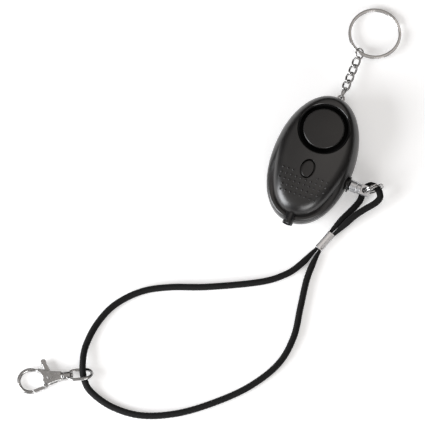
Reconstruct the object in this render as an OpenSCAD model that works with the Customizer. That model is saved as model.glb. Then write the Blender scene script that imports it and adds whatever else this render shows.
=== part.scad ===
// Personal safety alarm on a key chain, with a pull pin and a wrist strap.
// Millimetres. The alarm lies on its flat back, with its face up. +Y is the siren end, where the
// key chain hangs, -Y is the lamp end, and +X is the flank that holds the pull pin.

/* [Body] */
// Length of the case from end to end
body_length = 71; // [68:0.5:76]
// Width of the case across the rim
body_width = 43.5; // [42:0.5:48]
// Thickness from the flat back to the top of the crown
body_height = 20.4; // [19.6:0.1:22]
// Height of the parting plane above the flat back
parting_z = 9.5; // [9.2:0.1:10]
// Wall thickness of both shells
wall = 1.9; // [1.5:0.1:2.1]
// Width of the flat rim band round the dome
rim_width = 3; // [2.4:0.1:3.4]
// Height of the rim band above the parting plane
rim_height = 2.7; // [2.2:0.1:3]
// Rise of the crowned face above its own edge
crown_rise = 1.3; // [0.8:0.1:1.8]
// Width of the dark groove along the parting plane
groove_gap = 0.8; // [0.4:0.1:1]
// Depth of the dark groove along the parting plane
groove_depth = 0.7; // [0.4:0.1:0.8]
// Width of the rounding between the flank and the flat back
back_round = 7; // [5:0.5:8]

/* [Siren] */
// Distance of the siren centre from the middle of the case
siren_y = 15; // [13.5:0.5:15.5]
// Diameter of the siren opening in the front shell
siren_bore_d = 27.3; // [25:0.1:28]
// Diameter of the flat disc in the opening
siren_disc_d = 21.7; // [19:0.1:22.5]
// Thickness of the flat disc
siren_disc_t = 1.6; // [1.2:0.1:2]
// Diameter of the post that carries the disc
siren_post_d = 9; // [7:0.5:11]

/* [Button] */
// Distance of the button from the middle of the case, towards the lamp
button_y = 8.4; // [7.5:0.1:9]
// Width of the oval button
button_w = 6.3; // [5.5:0.1:6.8]
// Length of the oval button
button_l = 9.2; // [8:0.1:9.8]
// Width of the groove round the button
button_groove = 0.7; // [0.4:0.1:0.9]
// Travel of the button
button_travel = 0.5; // [0.3:0.1:0.6]

/* [Lamp] */
// Outer diameter of the notched collar round the lamp
bezel_d = 5.6; // [5.2:0.1:6]
// Reach of the collar past the end of the case
bezel_reach = 2.6; // [2:0.1:3.2]
// Diameter of the lamp
lamp_d = 4.2; // [3.6:0.1:4.4]

/* [Pull pin] */
// Distance of the pin from the middle of the case, towards the lamp
pin_y = 6; // [5:0.5:7]
// Diameter of the pin's shaft in the socket
pin_shaft_d = 3; // [2.6:0.1:3.2]
// Length of the pin's shaft in the socket
pin_shaft_l = 15; // [13:0.5:16]
// Diameter of the pin's collar
pin_collar_d = 6.5; // [6:0.1:7]
// Length of the pin's collar
pin_collar_l = 4.4; // [3.5:0.1:5]
// Diameter of the barrel behind the collar
pin_barrel_d = 5.8; // [5.4:0.1:6]
// Thickness of the flattened eye at the end of the barrel
pin_eye_t = 2.4; // [2.2:0.1:2.6]
// Diameter of the hole through the eye
pin_eye_hole_d = 3.4; // [3.3:0.1:3.6]
// Outer diameter of the small split ring in the eye
pin_ring_d = 11; // [10.8:0.1:11.2]

/* [Strap] */
// Diameter of the woven cord
cord_d = 3.5; // [3.3:0.1:3.6]
// Length of the crimp that holds both loops
ferrule_l = 11; // [10:0.5:12]
// Width of the crimp
ferrule_w = 4.8; // [4.4:0.1:5.4]
// Height of the crimp
ferrule_h = 3.6; // [3:0.1:4]

/* [Trigger snap] */
// Diameter of the round bar that forms the hook
hook_bar_d = 2.2; // [1.8:0.1:2.4]
// Radius of the hook's bow, to the middle of the bar
hook_bow_r = 6; // [5.6:0.1:6.4]
// Thickness of the snap at the lever's pivot
hook_base_t = 4.4; // [4.2:0.1:4.6]
// Diameter of the wire of the swivel eye
eye_wire_d = 1.8; // [1.5:0.1:1.9]
// Width of the swivel eye, to the middle of its wire
eye_w = 8.8; // [8.6:0.1:9.2]
// Diameter of the swivel post
swivel_post_d = 2.2; // [1.8:0.1:2.4]
// Diameter of the rivet that the lever turns on
rivet_d = 1.8; // [1.5:0.1:1.9]
// Angle that the lever opens by
trigger_swing = 25; // [15:1:28]

/* [Key chain] */
// Diameter of the chain's wire
link_wire_d = 1.2; // [1:0.05:1.25]
// Width of a link, to the middle of its wire
link_w = 3.5; // [3.4:0.05:3.7]
// Distance from one link to the next
link_pitch = 4.7; // [4.6:0.05:4.8]
// Diameter of the staple's wire
anchor_wire_d = 1.1; // [0.9:0.05:1.2]
// Diameter of the connector ring's wire
connector_wire_d = 1.1; // [0.9:0.05:1.15]
// Diameter of the connector ring, to the middle of its wire
connector_d = 6.7; // [6.6:0.05:7]
// Outer diameter of the split key ring
key_ring_d = 28; // [26:0.5:30]
// Width of the key ring's band, across the ring
key_band_w = 1.5; // [1.3:0.05:1.6]
// Thickness of one turn of the key ring's band
key_band_t = 0.8; // [0.7:0.05:0.85]

/* [Inside] */
// Diameter of the button cells
cell_d = 11.6; // [10:0.1:11.6]
// Length of one button cell
cell_l = 5.4; // [4.8:0.1:5.4]
// Thickness of the circuit board
board_t = 1.2; // [0.8:0.1:1.6]
// Diameter of the case screws
screw_d = 2.2; // [1.8:0.1:2.4]
// Head diameter of the case screws
screw_head_d = 4.2; // [3.6:0.1:4.4]

/* [Fits] */
// Clearance on each side of fixed pieces that fit together
fit = 0.1; // [0.05:0.01:0.15]
// Clearance on each side of pieces that move
play = 0.2; // [0.15:0.01:0.25]

/* [Hidden] */
$fn = 48;

// A length that safely passes through any wall
beyond = 60;

// Case outline: an egg made of two half ovals, a little fuller at the lamp end
half_w = body_width / 2;
half_l = body_length / 2;
siren_fullness = 2.05;
lamp_fullness = 2.15;
egg_sides = 56;
function signed_pow(v, p) = sign(v) * pow(abs(v), p);
function egg_point(t) =
    let (p = 2 / (sin(t) >= 0 ? siren_fullness : lamp_fullness))
    [signed_pow(cos(t), p), signed_pow(sin(t), p)];
function egg_ring(w, l, y, z) = [for (k = [0 : egg_sides - 1])
    let (e = egg_point(360 * k / egg_sides)) [w * e[0], y + l * e[1], z]];
function inset_ring(d, z) = egg_ring(half_w - d, half_l - d, 0, z);

// Dome: shoulders rise from the valley inside the rim to the edge of the crowned face, which sits
// nearer the siren end
shoulder_side = 4.5;
shoulder_end = 6.5;
crown_y = 3.5;
shoulder_turn = 85;
valley_z = parting_z + rim_height - 0.3;
crown_edge_z = body_height - crown_rise;
base_w = half_w - rim_width;
base_l = half_l - rim_width;
crown_w = base_w - shoulder_side;
crown_l = base_l - shoulder_end;
function dome_ring(p, skin) =
    let (g = (1 - cos(p)) / (1 - cos(shoulder_turn)))
    egg_ring(base_w - skin - shoulder_side * g, base_l - skin - shoulder_end * g, crown_y * g,
        valley_z + (crown_edge_z - skin - valley_z) * sin(p) / sin(shoulder_turn));
function crown_ring(f, skin) =
    egg_ring((crown_w - skin) * f, (crown_l - skin) * f, crown_y, crown_edge_z - skin + crown_rise * (1 - f * f));
function crown_z(x, y) =
    crown_edge_z + crown_rise * (1 - pow(x / crown_w, 2) - pow((y - crown_y) / crown_l, 2));

// Lip under the front shell that centres the rear shell
lip_h = 1;
lip_t = 0.7;
lip_in = groove_depth + 0.9;
rear_seat_in = lip_in - 1.5 * fit;

// Rear shell profile: flank, elliptic rounding and flat back. The back is cut flat at z = 0
back_sink = 0.3;
round_h = 6;
function back_point(a) = [back_round * (1 - cos(a)), (round_h + back_sink) * (1 - sin(a)) - back_sink];
function back_inner(a) =
    let (n = [round_h * cos(a), back_round * sin(a)])
    back_point(a) + wall * n / norm(n);
floor_z = back_inner(90)[1];

// Siren stack, from the face down
siren_cup_wall = 0.6;
siren_top_z = crown_z(0, siren_y) - 0.1;
siren_rim_z = siren_top_z - 1;
siren_floor_top = siren_top_z - 5.1;
siren_floor_t = 1.2;
seal_t = 0.8;
sounder_plate_t = 0.4;
sounder_disc_t = 0.4;
siren_cup_d = siren_bore_d - 2 * fit;
seal_top = siren_floor_top - siren_floor_t;
sounder_top = seal_top - seal_t;

// Circuit board on the floor of the rear shell
board_z = floor_z + 3 * fit;
board_top = board_z + board_t;
board_w = 21.4;
board_end = siren_y + board_w / 2;
board_tail = button_y + 5;
chip = [board_w * 0.23, board_w * 0.19, 1.5];
resistor = [board_w * 0.15, board_w * 0.075, 1.1];

// Button, its flange under the shell and its plunger
button_z = crown_z(0, -button_y) + 0.15;
button_flange = 0.85;
button_flange_t = 0.8;
button_flange_top = crown_z(button_w / 2 + button_flange, -button_y - button_l / 2 - button_flange)
    - wall - 2 * play;
plunger_d = 2.4;
switch_w = 6;
switch_h = 3.5;
switch_knob_d = 3.4;
switch_knob_h = 1.4;
switch_top = board_top + switch_h + switch_knob_h;
plunger_bottom = switch_top + button_travel + 0.1;

// Pull pin: socket flange outside the flank, then collar, barrel and flattened eye
socket_d = 6;
socket_l = 9.4;
socket_flange_d = 8.4;
socket_flange_t = 0.8;
socket_face = half_w + 0.15;
pin_start = socket_face + socket_flange_t + play;
pin_barrel_x = pin_start + pin_collar_l;
pin_eye_x = pin_barrel_x + 4.3;
pin_end_x = pin_eye_x + pin_eye_hole_d / 2 + 0.9;
pin_tip_x = socket_face - pin_shaft_l;

// Small split ring: it stands upright in the eye and droops a little from the pin
pin_band_w = 0.9;
pin_band_t = 0.7;
pin_ring_r = (pin_ring_d - pin_band_w) / 2;
pin_ring_turn = 40;
pin_ring_droop = 20;
ring_gap = 0.42;

// Lamp
lamp_z = parting_z + 1.5;
bezel_start = half_l - 5;
bezel_end = half_l + bezel_reach;
lamp_back = half_l - 8;
bezel_wall = (bezel_d - lamp_d) / 2 - fit;

// Battery row along X, between the lamp and the pin
cells = 3;
cell_y = -half_l + 14.5;
cell_z = floor_z + cell_d / 2 + fit;
cell_row = cells * cell_l;
contact_t = 0.4;
contact_w = 8;
contact_tail = -board_tail - cell_y + contact_w / 4;

// Case screws. The low pair stands just outside the battery row
post_d = screw_head_d + 2 * play + 0.8;
post_gap = 0.3;
screw_side = half_w - 7.75;
screw_low_side = cell_row / 2 + fit + contact_t + post_d / 2 + post_gap;
screw_low_y = cell_y + 1;
screw_places = [[screw_side, 3], [-screw_side, 3], [screw_low_side, screw_low_y], [-screw_low_side, screw_low_y]];
screw_head_h = 1.6;
screw_head_z = 0.4;
screw_l = 11;
boss_d = screw_d + 2.2;
boss_top = valley_z + 4.4;

// Strap route. The points are chosen by hand, in millimetres on the table
ferrule_mid = [21.4, -37.6, 2.1];
ferrule_turn = -19.2;
strand_d = 1.6;
strand_apart = 1.8;
pin_loop_route = [[22, -33, 2.1], [22.8, -29.6, 2.05], [25.3, -23, 1.8], [28.5, -15.6, 1.8], [30.3, -10.2, 1.9],
    [30.3, -6, 2.1], [30.75, -2.75, 3.4], [33.1, -0.85, 5], [36.2, -1.5, 6.4], [38.6, -3.2, 6.5], [39.9, -6, 6.1],
    [38.5, -9.4, 5.5], [34.7, -14.2, 5], [30.8, -19.8, 4.5], [27.1, -26.8, 3.1], [23.7, -33.6, 2.1]];
wrist_loop_route = [[19.1, -41.6, 2.1], [17.4, -45.5, 2.1], [14.1, -53.3, 1.9], [8.8, -61.3, 1.8],
    [-2.3, -70.3, 1.8], [-27, -82.9, 1.8], [-46, -90.6, 1.8], [-59, -98.4, 1.8],
    [-69, -110, 1.8], [-73.8, -123, 1.8], [-74.8, -136.3, 2.4], [-72.4, -146.6, 4.5], [-69, -153.2, 4],
    [-63.1, -158.2, 2.4], [-50, -161.6, 1.8], [-34, -160.3, 1.8], [-17, -152.4, 1.8],
    [-1, -139.8, 1.8], [13, -125, 1.8], [22.5, -108.4, 1.8], [24.8, -92, 1.8], [22.2, -75.2, 1.8],
    [19.8, -59.7, 1.8], [19.9, -48.1, 2.1], [20.8, -42.2, 2.1]];

// Trigger snap: its own frame has X from the swivel to the hook's end and the rivet at the origin
snap_place = [-85.9, -158.9, 2.95];
snap_turn = 206;
snap_tilt = 4.4;
eye_roll = 43;
eye_near_x = -9;
eye_far_x = -22.1;
eye_boss_d = 5;
eye_boss_l = 3.6;
swivel_neck_x = -7;
swivel_head_d = 3.6;
swivel_head_t = 1.1;
hook_bow = [10.5, 1];
hook_tip_angle = 112;
lever_t = hook_base_t - 2.2;
lever_hub_d = 5.4;
gate_reach = 11.3;
gate_gap = 1.5 * play;
slot_t = lever_t + 2 * play;

// Key chain: links in a row along +Y from the staple, dropping to the table
anchor_x = 1.2;
anchor_z = 5.6;
anchor_r = 1.6;
anchor_y = half_l + 3.4;
anchor_leg = 6;
chain_drop = 5.2;
link_l = link_pitch + link_wire_d + 0.75 * play;
first_link_mid = link_l / 2 - (anchor_wire_d + link_wire_d) / 2 - 0.75 * play;
link_rings = 28;
// Twist of each link about the chain's line, at its near and far end
link_twists = [[90, 45], [-45, 45], [-45, 45], [-45, 45], [-45, 45]];
connector_roll = 50;
connector_mid = first_link_mid + 4 * link_pitch + link_l / 2 - (link_wire_d + connector_wire_d) / 2
    - 0.75 * play + connector_d / 2;
key_band_mid = connector_mid + 0.7;
key_ring_turn = -15;
key_ring_tilt = 1;
key_ring_t = 2 * key_band_t + ring_gap;

// Oval drawn with straight steps fine enough for its size
oval_steps = 40;
module oval(w, l) {
    polygon([for (k = [0 : oval_steps - 1]) let (a = 360 * k / oval_steps) [w / 2 * cos(a), l / 2 * sin(a)]]);
}

// Outline with flat sides and well rounded corners
module soft_box(w, h) {
    function soft(v) = sign(v) * sqrt(abs(v));
    polygon([for (k = [0 : oval_steps - 1])
        [w / 2 * soft(cos(360 * (k + 0.5) / oval_steps)), h / 2 * soft(sin(360 * (k + 0.5) / oval_steps))]]);
}

// Closed skin through a stack of rings that starts and ends in a point
module ring_stack(first, rings, last) {
    n = len(rings[0]);
    m = len(rings);
    points = concat([for (r = rings) each r], [first, last]);
    polyhedron(points, concat(
        [for (j = [0 : n - 1]) [n * m, (j + 1) % n, j]],
        [for (i = [0 : m - 2]) for (j = [0 : n - 1])
            [i * n + j, i * n + (j + 1) % n, (i + 1) * n + (j + 1) % n]],
        [for (i = [0 : m - 2]) for (j = [0 : n - 1])
            [i * n + j, (i + 1) * n + (j + 1) % n, (i + 1) * n + j]],
        [for (j = [0 : n - 1]) [(m - 1) * n + j, (m - 1) * n + (j + 1) % n, n * m + 1]]));
}

// Skin of a section carried along a path. Each path point has a guide vector that the section's
// own x axis stays square to. A closed path joins its last ring to its first
function unit(v) = v / norm(v);
function heading(path, i, closed) =
    let (n = len(path))
    closed ? unit(path[(i + 1) % n] - path[(i + n - 1) % n])
        : unit(path[min(i + 1, n - 1)] - path[max(i - 1, 0)]);
function carried_ring(at, ahead, guide, section) =
    let (side = unit(cross(guide, ahead)))
    let (over = cross(ahead, side))
    [for (s = section) at + s[0] * side + s[1] * over];
module carried(path, guides, sections, closed) {
    n = len(sections[0]);
    m = len(path);
    points = [for (i = [0 : m - 1]) each carried_ring(path[i], heading(path, i, closed), guides[i], sections[i])];
    spans = closed ? m - 1 : m - 2;
    polyhedron(points, concat(
        [for (i = [0 : spans]) for (j = [0 : n - 1])
            [i * n + j, ((i + 1) % m) * n + (j + 1) % n, i * n + (j + 1) % n]],
        [for (i = [0 : spans]) for (j = [0 : n - 1])
            [i * n + j, ((i + 1) % m) * n + j, ((i + 1) % m) * n + (j + 1) % n]],
        closed ? [] : [for (j = [1 : n - 2]) [0, j, j + 1]],
        closed ? [] : [for (j = [1 : n - 2]) [(m - 1) * n, (m - 1) * n + j + 1, (m - 1) * n + j]]));
}
function round_section(r, sides) = [for (k = [0 : sides - 1]) let (a = 360 * (k + 0.5) / sides) r * [cos(a), sin(a)]];
function band_section(w, t) = [for (k = [0 : 7])
    [w / 2 * signed_pow(cos(45 * k + 22.5), 0.6) / pow(cos(22.5), 0.6),
        t / 2 * signed_pow(sin(45 * k + 22.5), 0.6) / pow(cos(22.5), 0.6)]];

// Smooth curve through chosen points, with a number of steps between each two
function curve_point(a, b, c, d, t) =
    0.5 * (2 * b + (c - a) * t + (2 * a - 5 * b + 4 * c - d) * t * t + (3 * b - a - 3 * c + d) * t * t * t);
function curve(points, steps) = concat(
    [for (i = [0 : len(points) - 2]) for (k = [0 : steps - 1])
        curve_point(points[max(i - 1, 0)], points[i], points[i + 1], points[min(i + 2, len(points) - 1)], k / steps)],
    [points[len(points) - 1]]);

// Cord along a route. Both ends are squeezed to fit side by side in the crimp
cord_sides = 8;
squeeze_l = 10;
module cord(route, steps) {
    path = curve(route, steps);
    last = len(path) - 1;
    sections = [for (i = [0 : last])
        let (f = min(1, min(norm(path[i] - path[0]), norm(path[i] - path[last])) / squeeze_l))
        round_section(strand_d / 2 + (cord_d - strand_d) / 2 * f, cord_sides)];
    carried(path, [for (p = path) [0, 0, 1]], sections, false);
}

// Split ring of two turns in the XY plane: the band climbs from the lower to the upper turn
ring_climb = 40;
module split_ring(outer_d, w, t, rings) {
    r = (outer_d - w) / 2;
    lift = t + ring_gap;
    last = 2 * rings;
    path = [for (i = [0 : last])
        let (a = 700 * i / last)
        let (s = min(1, max(0, (a - 350 + ring_climb / 2) / ring_climb)))
        [r * cos(a), r * sin(a), lift * (s - 0.5)]];
    carried(path, [for (p = path) [0, 0, 1]], [for (p = path) band_section(w, t)], false);
}

// Cutters shared by both shells
module pin_bore() {
    translate([half_w, -pin_y, parting_z]) rotate([0, 90, 0])
        cylinder(d = socket_d + 2 * fit, h = 2 * socket_l + 4, center = true);
}
module lamp_bore() {
    translate([0, -bezel_start + 1, lamp_z]) rotate([90, 0, 0])
        cylinder(d = bezel_d + 2 * fit, h = beyond / 4);
}

module front_shell() {
    rings = concat(
        [for (f = [0.3, 0.6, 0.85]) crown_ring(f, 0)],
        [for (p = [85, 70, 56, 42, 28, 14, 0]) dome_ring(p, 0)],
        [inset_ring(rim_width * 0.8, valley_z + 0.12),
            inset_ring(rim_width * 0.55, parting_z + rim_height),
            inset_ring(rim_width * 0.27, parting_z + rim_height * 0.95),
            inset_ring(rim_width * 0.08, parting_z + rim_height * 0.75),
            inset_ring(0, parting_z + rim_height * 0.45),
            inset_ring(0.1, parting_z + groove_gap / 2),
            inset_ring(groove_depth, parting_z + groove_gap / 2),
            inset_ring(groove_depth, parting_z),
            inset_ring(lip_in, parting_z),
            inset_ring(lip_in, parting_z - lip_h),
            inset_ring(lip_in + lip_t, parting_z - lip_h),
            inset_ring(lip_in + lip_t, parting_z + rim_height * 0.25),
            inset_ring(rim_width + wall, parting_z + rim_height * 0.3)],
        [for (p = [0, 20, 40, 60, 85]) dome_ring(p, wall)],
        [for (f = [0.7, 0.35]) crown_ring(f, wall)]);
    color("#2d2b2b") difference() {
        union() {
            ring_stack([0, crown_y, body_height], rings, [0, crown_y, body_height - wall]);
            for (s = screw_places) translate([s[0], s[1], parting_z])
                cylinder(d = boss_d, h = boss_top - parting_z);
        }
        translate([0, siren_y, parting_z + lip_h]) cylinder(d = siren_bore_d, h = beyond / 4);
        translate([0, siren_y, siren_top_z - 0.5]) cylinder(d1 = siren_bore_d, d2 = siren_bore_d + 2, h = 1);
        translate([0, -button_y, parting_z + lip_h])
            linear_extrude(beyond / 4) oval(button_w + 2 * button_groove, button_l + 2 * button_groove);
        pin_bore();
        lamp_bore();
        for (s = screw_places) translate([s[0], s[1], 0])
            cylinder(d = screw_d + 2 * fit, h = screw_head_z + screw_head_h + screw_l + 0.5);
    }
}

module rear_shell() {
    rings = concat(
        [for (f = [0.4, 0.75]) egg_ring((half_w - back_round) * f, (half_l - back_round) * f, 0, floor_z)],
        [for (a = [90, 72, 54, 36, 18, 0]) let (q = back_inner(a)) inset_ring(q[0], q[1])],
        [inset_ring(wall, parting_z - lip_h - 2 * fit),
            inset_ring(rear_seat_in, parting_z - lip_h - 2 * fit),
            inset_ring(rear_seat_in, parting_z),
            inset_ring(groove_depth, parting_z),
            inset_ring(groove_depth, parting_z - groove_gap / 2),
            inset_ring(0.1, parting_z - groove_gap / 2),
            inset_ring(0, parting_z - groove_gap / 2 - 0.8)],
        [for (a = [0, 15, 30, 45, 60, 75, 90]) let (q = back_point(a)) inset_ring(q[0], q[1])]);
    color("#2d2b2b") difference() {
        union() {
            ring_stack([0, 0, floor_z], rings, [0, 0, -back_sink]);
            for (s = screw_places) translate([s[0], s[1], floor_z - wall / 2])
                cylinder(d = post_d, h = parting_z - 2 * fit - floor_z + wall / 2);
        }
        translate([0, 0, -beyond / 2]) cube([2 * body_length, 2 * body_length, beyond], center = true);
        pin_bore();
        lamp_bore();
        for (s = screw_places) translate([s[0], s[1], -1]) {
            cylinder(d = screw_d + 2 * fit, h = parting_z + 1);
            cylinder(d = screw_head_d + 2 * play, h = screw_head_z + screw_head_h + 1 + fit);
        }
        for (side = [-1, 1]) translate([anchor_x + side * anchor_r, half_l + 1, anchor_z]) rotate([90, 0, 0])
            cylinder(d = anchor_wire_d + 2 * fit, h = anchor_leg + 2);
    }
}

module siren_housing() {
    holes = 10;
    color("#0c0c0c") translate([0, siren_y, siren_floor_top - siren_floor_t]) difference() {
        cylinder(d = siren_cup_d, h = siren_rim_z - siren_floor_top + siren_floor_t);
        translate([0, 0, siren_floor_t]) cylinder(d = siren_cup_d - 2 * siren_cup_wall, h = beyond / 4);
        for (k = [0 : holes - 1]) rotate(360 * k / holes) translate([siren_disc_d * 0.41, 0, -1])
            cylinder(d = 2.2, h = siren_floor_t + 2);
    }
}

module siren_cap() {
    bevel = 0.4;
    color("#2d2b2b") translate([0, siren_y, siren_top_z]) rotate_extrude() polygon([
        [0, 0], [siren_disc_d / 2 - bevel, 0], [siren_disc_d / 2, -bevel], [siren_disc_d / 2, -siren_disc_t],
        [siren_post_d / 2, -siren_disc_t], [siren_post_d / 2, siren_floor_top - siren_top_z],
        [0, siren_floor_top - siren_top_z]]);
}

module sounder_seal() {
    color("#1a1a1a") translate([0, siren_y, sounder_top]) difference() {
        cylinder(d = siren_cup_d - 0.6, h = seal_t);
        translate([0, 0, -1]) cylinder(d = siren_cup_d - 3.6, h = seal_t + 2);
    }
}

module siren_sounder() {
    color("#c9a24a") translate([0, siren_y, sounder_top - sounder_plate_t]) {
        cylinder(d = siren_cup_d - 0.9, h = sounder_plate_t);
        translate([0, 0, -sounder_disc_t]) cylinder(d = siren_cup_d * 0.7, h = sounder_disc_t + 0.1);
    }
}

module circuit_board() {
    color("#1f5a34") translate([0, 0, board_z]) {
        difference() {
            linear_extrude(board_t) union() {
                translate([0, board_end - board_w / 2]) circle(d = board_w);
                translate([-board_w / 2, -board_tail]) square([board_w, board_tail + board_end - board_w / 2]);
            }
            for (side = [-1, 1]) translate([side * board_w * 0.4, board_end - board_w / 2, -1])
                cylinder(d = board_w * 0.1, h = board_t + 2);
        }
        translate([board_w * 0.1, board_w * 0.37, board_t]) cube(chip);
        for (k = [1 : 2]) translate([-board_w * 0.33, k * 2 * resistor[1], board_t]) cube(resistor);
    }
}

module booster_coil() {
    color("#4a3426") translate([-4.5, siren_y + 3, board_top]) {
        cylinder(d = 7, h = 0.8);
        cylinder(d = 5.2, h = 5.6);
        translate([0, 0, 5]) cylinder(d = 7, h = 0.8);
    }
}

module tact_switch() {
    color("#b9bcc0") translate([0, -button_y, board_top]) {
        translate([-switch_w / 2, -switch_w / 2, 0]) cube([switch_w, switch_w, switch_h]);
        cylinder(d = switch_knob_d, h = switch_h + switch_knob_h);
    }
}

module battery_cells() {
    bevel = 0.4;
    color("#d5d7da") for (k = [0 : cells - 1])
        translate([-cell_row / 2 + k * cell_l, cell_y, cell_z]) rotate([0, 90, 0]) rotate_extrude() polygon([
            [0, fit / 2], [cell_d / 2 - bevel, fit / 2], [cell_d / 2, bevel], [cell_d / 2, cell_l - bevel],
            [cell_d / 2 - 1, cell_l - bevel], [cell_d / 2 - 1, cell_l - fit / 2], [0, cell_l - fit / 2]]);
}

module battery_contacts() {
    plate = [contact_t, contact_w, cell_d * 0.7];
    color("#c8b98a") for (side = [-1, 1])
        translate([side * (cell_row / 2 + fit + contact_t / 2), cell_y, cell_z]) {
            cube(plate, center = true);
            translate([-contact_t / 2, contact_w / 4, board_top - cell_z])
                cube([contact_t, contact_tail, contact_w / 4]);
        }
}

module pin_contacts() {
    leaf = [3, 0.3, 7.6];
    color("#c8b98a") for (side = [-1, 1])
        translate([pin_tip_x + 1, -pin_y + side * (pin_shaft_d / 2 + play + leaf[1] / 2) - leaf[1] / 2, board_top])
            cube(leaf);
}

module led_lamp() {
    r = lamp_d / 2;
    color("#f3f4ee") translate([0, -lamp_back, lamp_z]) rotate([90, 0, 0]) {
        cylinder(r = r, h = bezel_end - r - lamp_back - 0.4);
        cylinder(r = r + 0.5, h = 1);
        translate([0, 0, bezel_end - r - lamp_back - 0.4]) intersection() {
            sphere(r);
            translate([0, 0, -0.01]) cylinder(r = r + 1, h = r + 1);
        }
    }
}

module led_bezel() {
    notches = 3;
    notch_w = 0.8;
    notch_depth = 0.8;
    color("#121212") translate([0, -bezel_start, lamp_z]) rotate([90, 0, 0]) difference() {
        cylinder(d = bezel_d, h = bezel_end - bezel_start);
        translate([0, 0, -1]) cylinder(d = bezel_d - 2 * bezel_wall, h = beyond / 4);
        for (k = [0 : notches - 1]) rotate(30 + 180 * k / notches)
            translate([-bezel_d, -notch_w / 2, bezel_end - bezel_start - notch_depth])
                cube([2 * bezel_d, notch_w, 3]);
    }
}

module pin_socket() {
    color("#101010") translate([socket_face, -pin_y, parting_z]) rotate([0, 90, 0]) difference() {
        union() {
            translate([0, 0, -socket_l]) cylinder(d = socket_d, h = socket_l + 0.1);
            cylinder(d = socket_flange_d, h = socket_flange_t);
        }
        translate([0, 0, -socket_l - 1]) cylinder(d = pin_shaft_d + 2 * play, h = beyond / 2);
    }
}

module case_screws() {
    color("#9a9da1") for (s = screw_places) translate([s[0], s[1], screw_head_z]) difference() {
        union() {
            cylinder(d = screw_head_d, h = screw_head_h);
            cylinder(d = screw_d, h = screw_head_h + screw_l);
        }
        for (a = [0, 90]) rotate(a) translate([-1.3, -0.25, -0.1]) cube([2.6, 0.5, 0.9]);
    }
}

module chain_anchor() {
    foot = [2 * anchor_r + 2.4, 0.8, 2.6];
    color("#d3d5d8") translate([anchor_x, anchor_y - anchor_r, anchor_z]) {
        rotate_extrude(angle = 180) translate([anchor_r, 0]) circle(d = anchor_wire_d);
        for (side = [-1, 1]) translate([side * anchor_r, 0, 0]) rotate([90, 0, 0])
            cylinder(d = anchor_wire_d, h = anchor_leg);
        translate([0, -anchor_leg, 0]) cube(foot, center = true);
    }
}

module light_button() {
    bevel = 0.35;
    color("#2a2828") translate([0, -button_y, 0]) {
        translate([0, 0, button_flange_top - 0.1]) linear_extrude(button_z - bevel - button_flange_top + 0.1)
            oval(button_w, button_l);
        translate([0, 0, button_z - bevel - 0.1]) linear_extrude(bevel + 0.1)
            oval(button_w - 2 * bevel, button_l - 2 * bevel);
        translate([0, 0, button_flange_top - button_flange_t]) linear_extrude(button_flange_t)
            oval(button_w + 2 * (button_flange + button_groove), button_l + 2 * (button_flange + button_groove));
        translate([0, 0, plunger_bottom]) cylinder(d = plunger_d, h = button_flange_top - plunger_bottom);
    }
}

module pull_pin() {
    edge = 0.5;
    end_r = pin_barrel_d / 2;
    color("#d9dadd") translate([0, -pin_y, parting_z]) difference() {
        rotate([0, 90, 0]) union() {
            translate([0, 0, pin_tip_x + pin_shaft_d / 2]) {
                cylinder(d = pin_shaft_d, h = pin_start - pin_tip_x);
                sphere(d = pin_shaft_d);
            }
            translate([0, 0, pin_start]) rotate_extrude() polygon([
                [0, 0], [pin_collar_d / 2 - edge, 0], [pin_collar_d / 2, edge],
                [pin_collar_d / 2, pin_collar_l - edge], [pin_collar_d / 2 - edge, pin_collar_l],
                [0, pin_collar_l]]);
            translate([0, 0, pin_barrel_x - 0.1]) cylinder(r = end_r, h = pin_end_x - pin_barrel_x + 0.1);
        }
        for (side = [-1, 1]) translate([pin_eye_x + 1.2, 0, side * (pin_eye_t + beyond) / 2])
            cube([7.6, beyond, beyond], center = true);
        translate([pin_eye_x, 0, 0]) cylinder(d = pin_eye_hole_d, h = beyond, center = true);
    }
}

module pin_ring() {
    color("#d3d5d8") translate([pin_eye_x, -pin_y, parting_z]) rotate([0, 0, pin_ring_turn])
        rotate([0, pin_ring_droop, 0]) translate([pin_ring_r, 0, 0]) rotate([90, 0, 0]) rotate(90)
            split_ring(pin_ring_d, pin_band_w, pin_band_t, 20);
}

module pin_loop_cord() {
    color("#141416") cord(pin_loop_route, 2);
}

module wrist_loop_cord() {
    color("#141416") cord(wrist_loop_route, 2);
}

module cord_ferrule() {
    pocket_l = 1.2;
    crimp_w = 0.9;
    crimp_depth = 0.33;
    color("#cfd1d4") translate(ferrule_mid) rotate([0, 0, ferrule_turn]) rotate([90, 0, 0]) difference() {
        linear_extrude(ferrule_l, center = true) soft_box(ferrule_w, ferrule_h);
        for (side = [-1, 1]) translate([0, 0, side * ferrule_l / 2])
            linear_extrude(2 * pocket_l, center = true) oval(strand_apart + strand_d + 0.6, strand_d + 0.6);
        translate([ferrule_w * 0.24, ferrule_h / 2, 0])
            cube([crimp_w, 2 * crimp_depth, ferrule_l * 0.84], center = true);
    }
}

// Frame of the trigger snap
module snap_frame() {
    translate(snap_place) rotate([0, 0, snap_turn]) rotate([0, snap_tilt, 0]) children();
}

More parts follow.
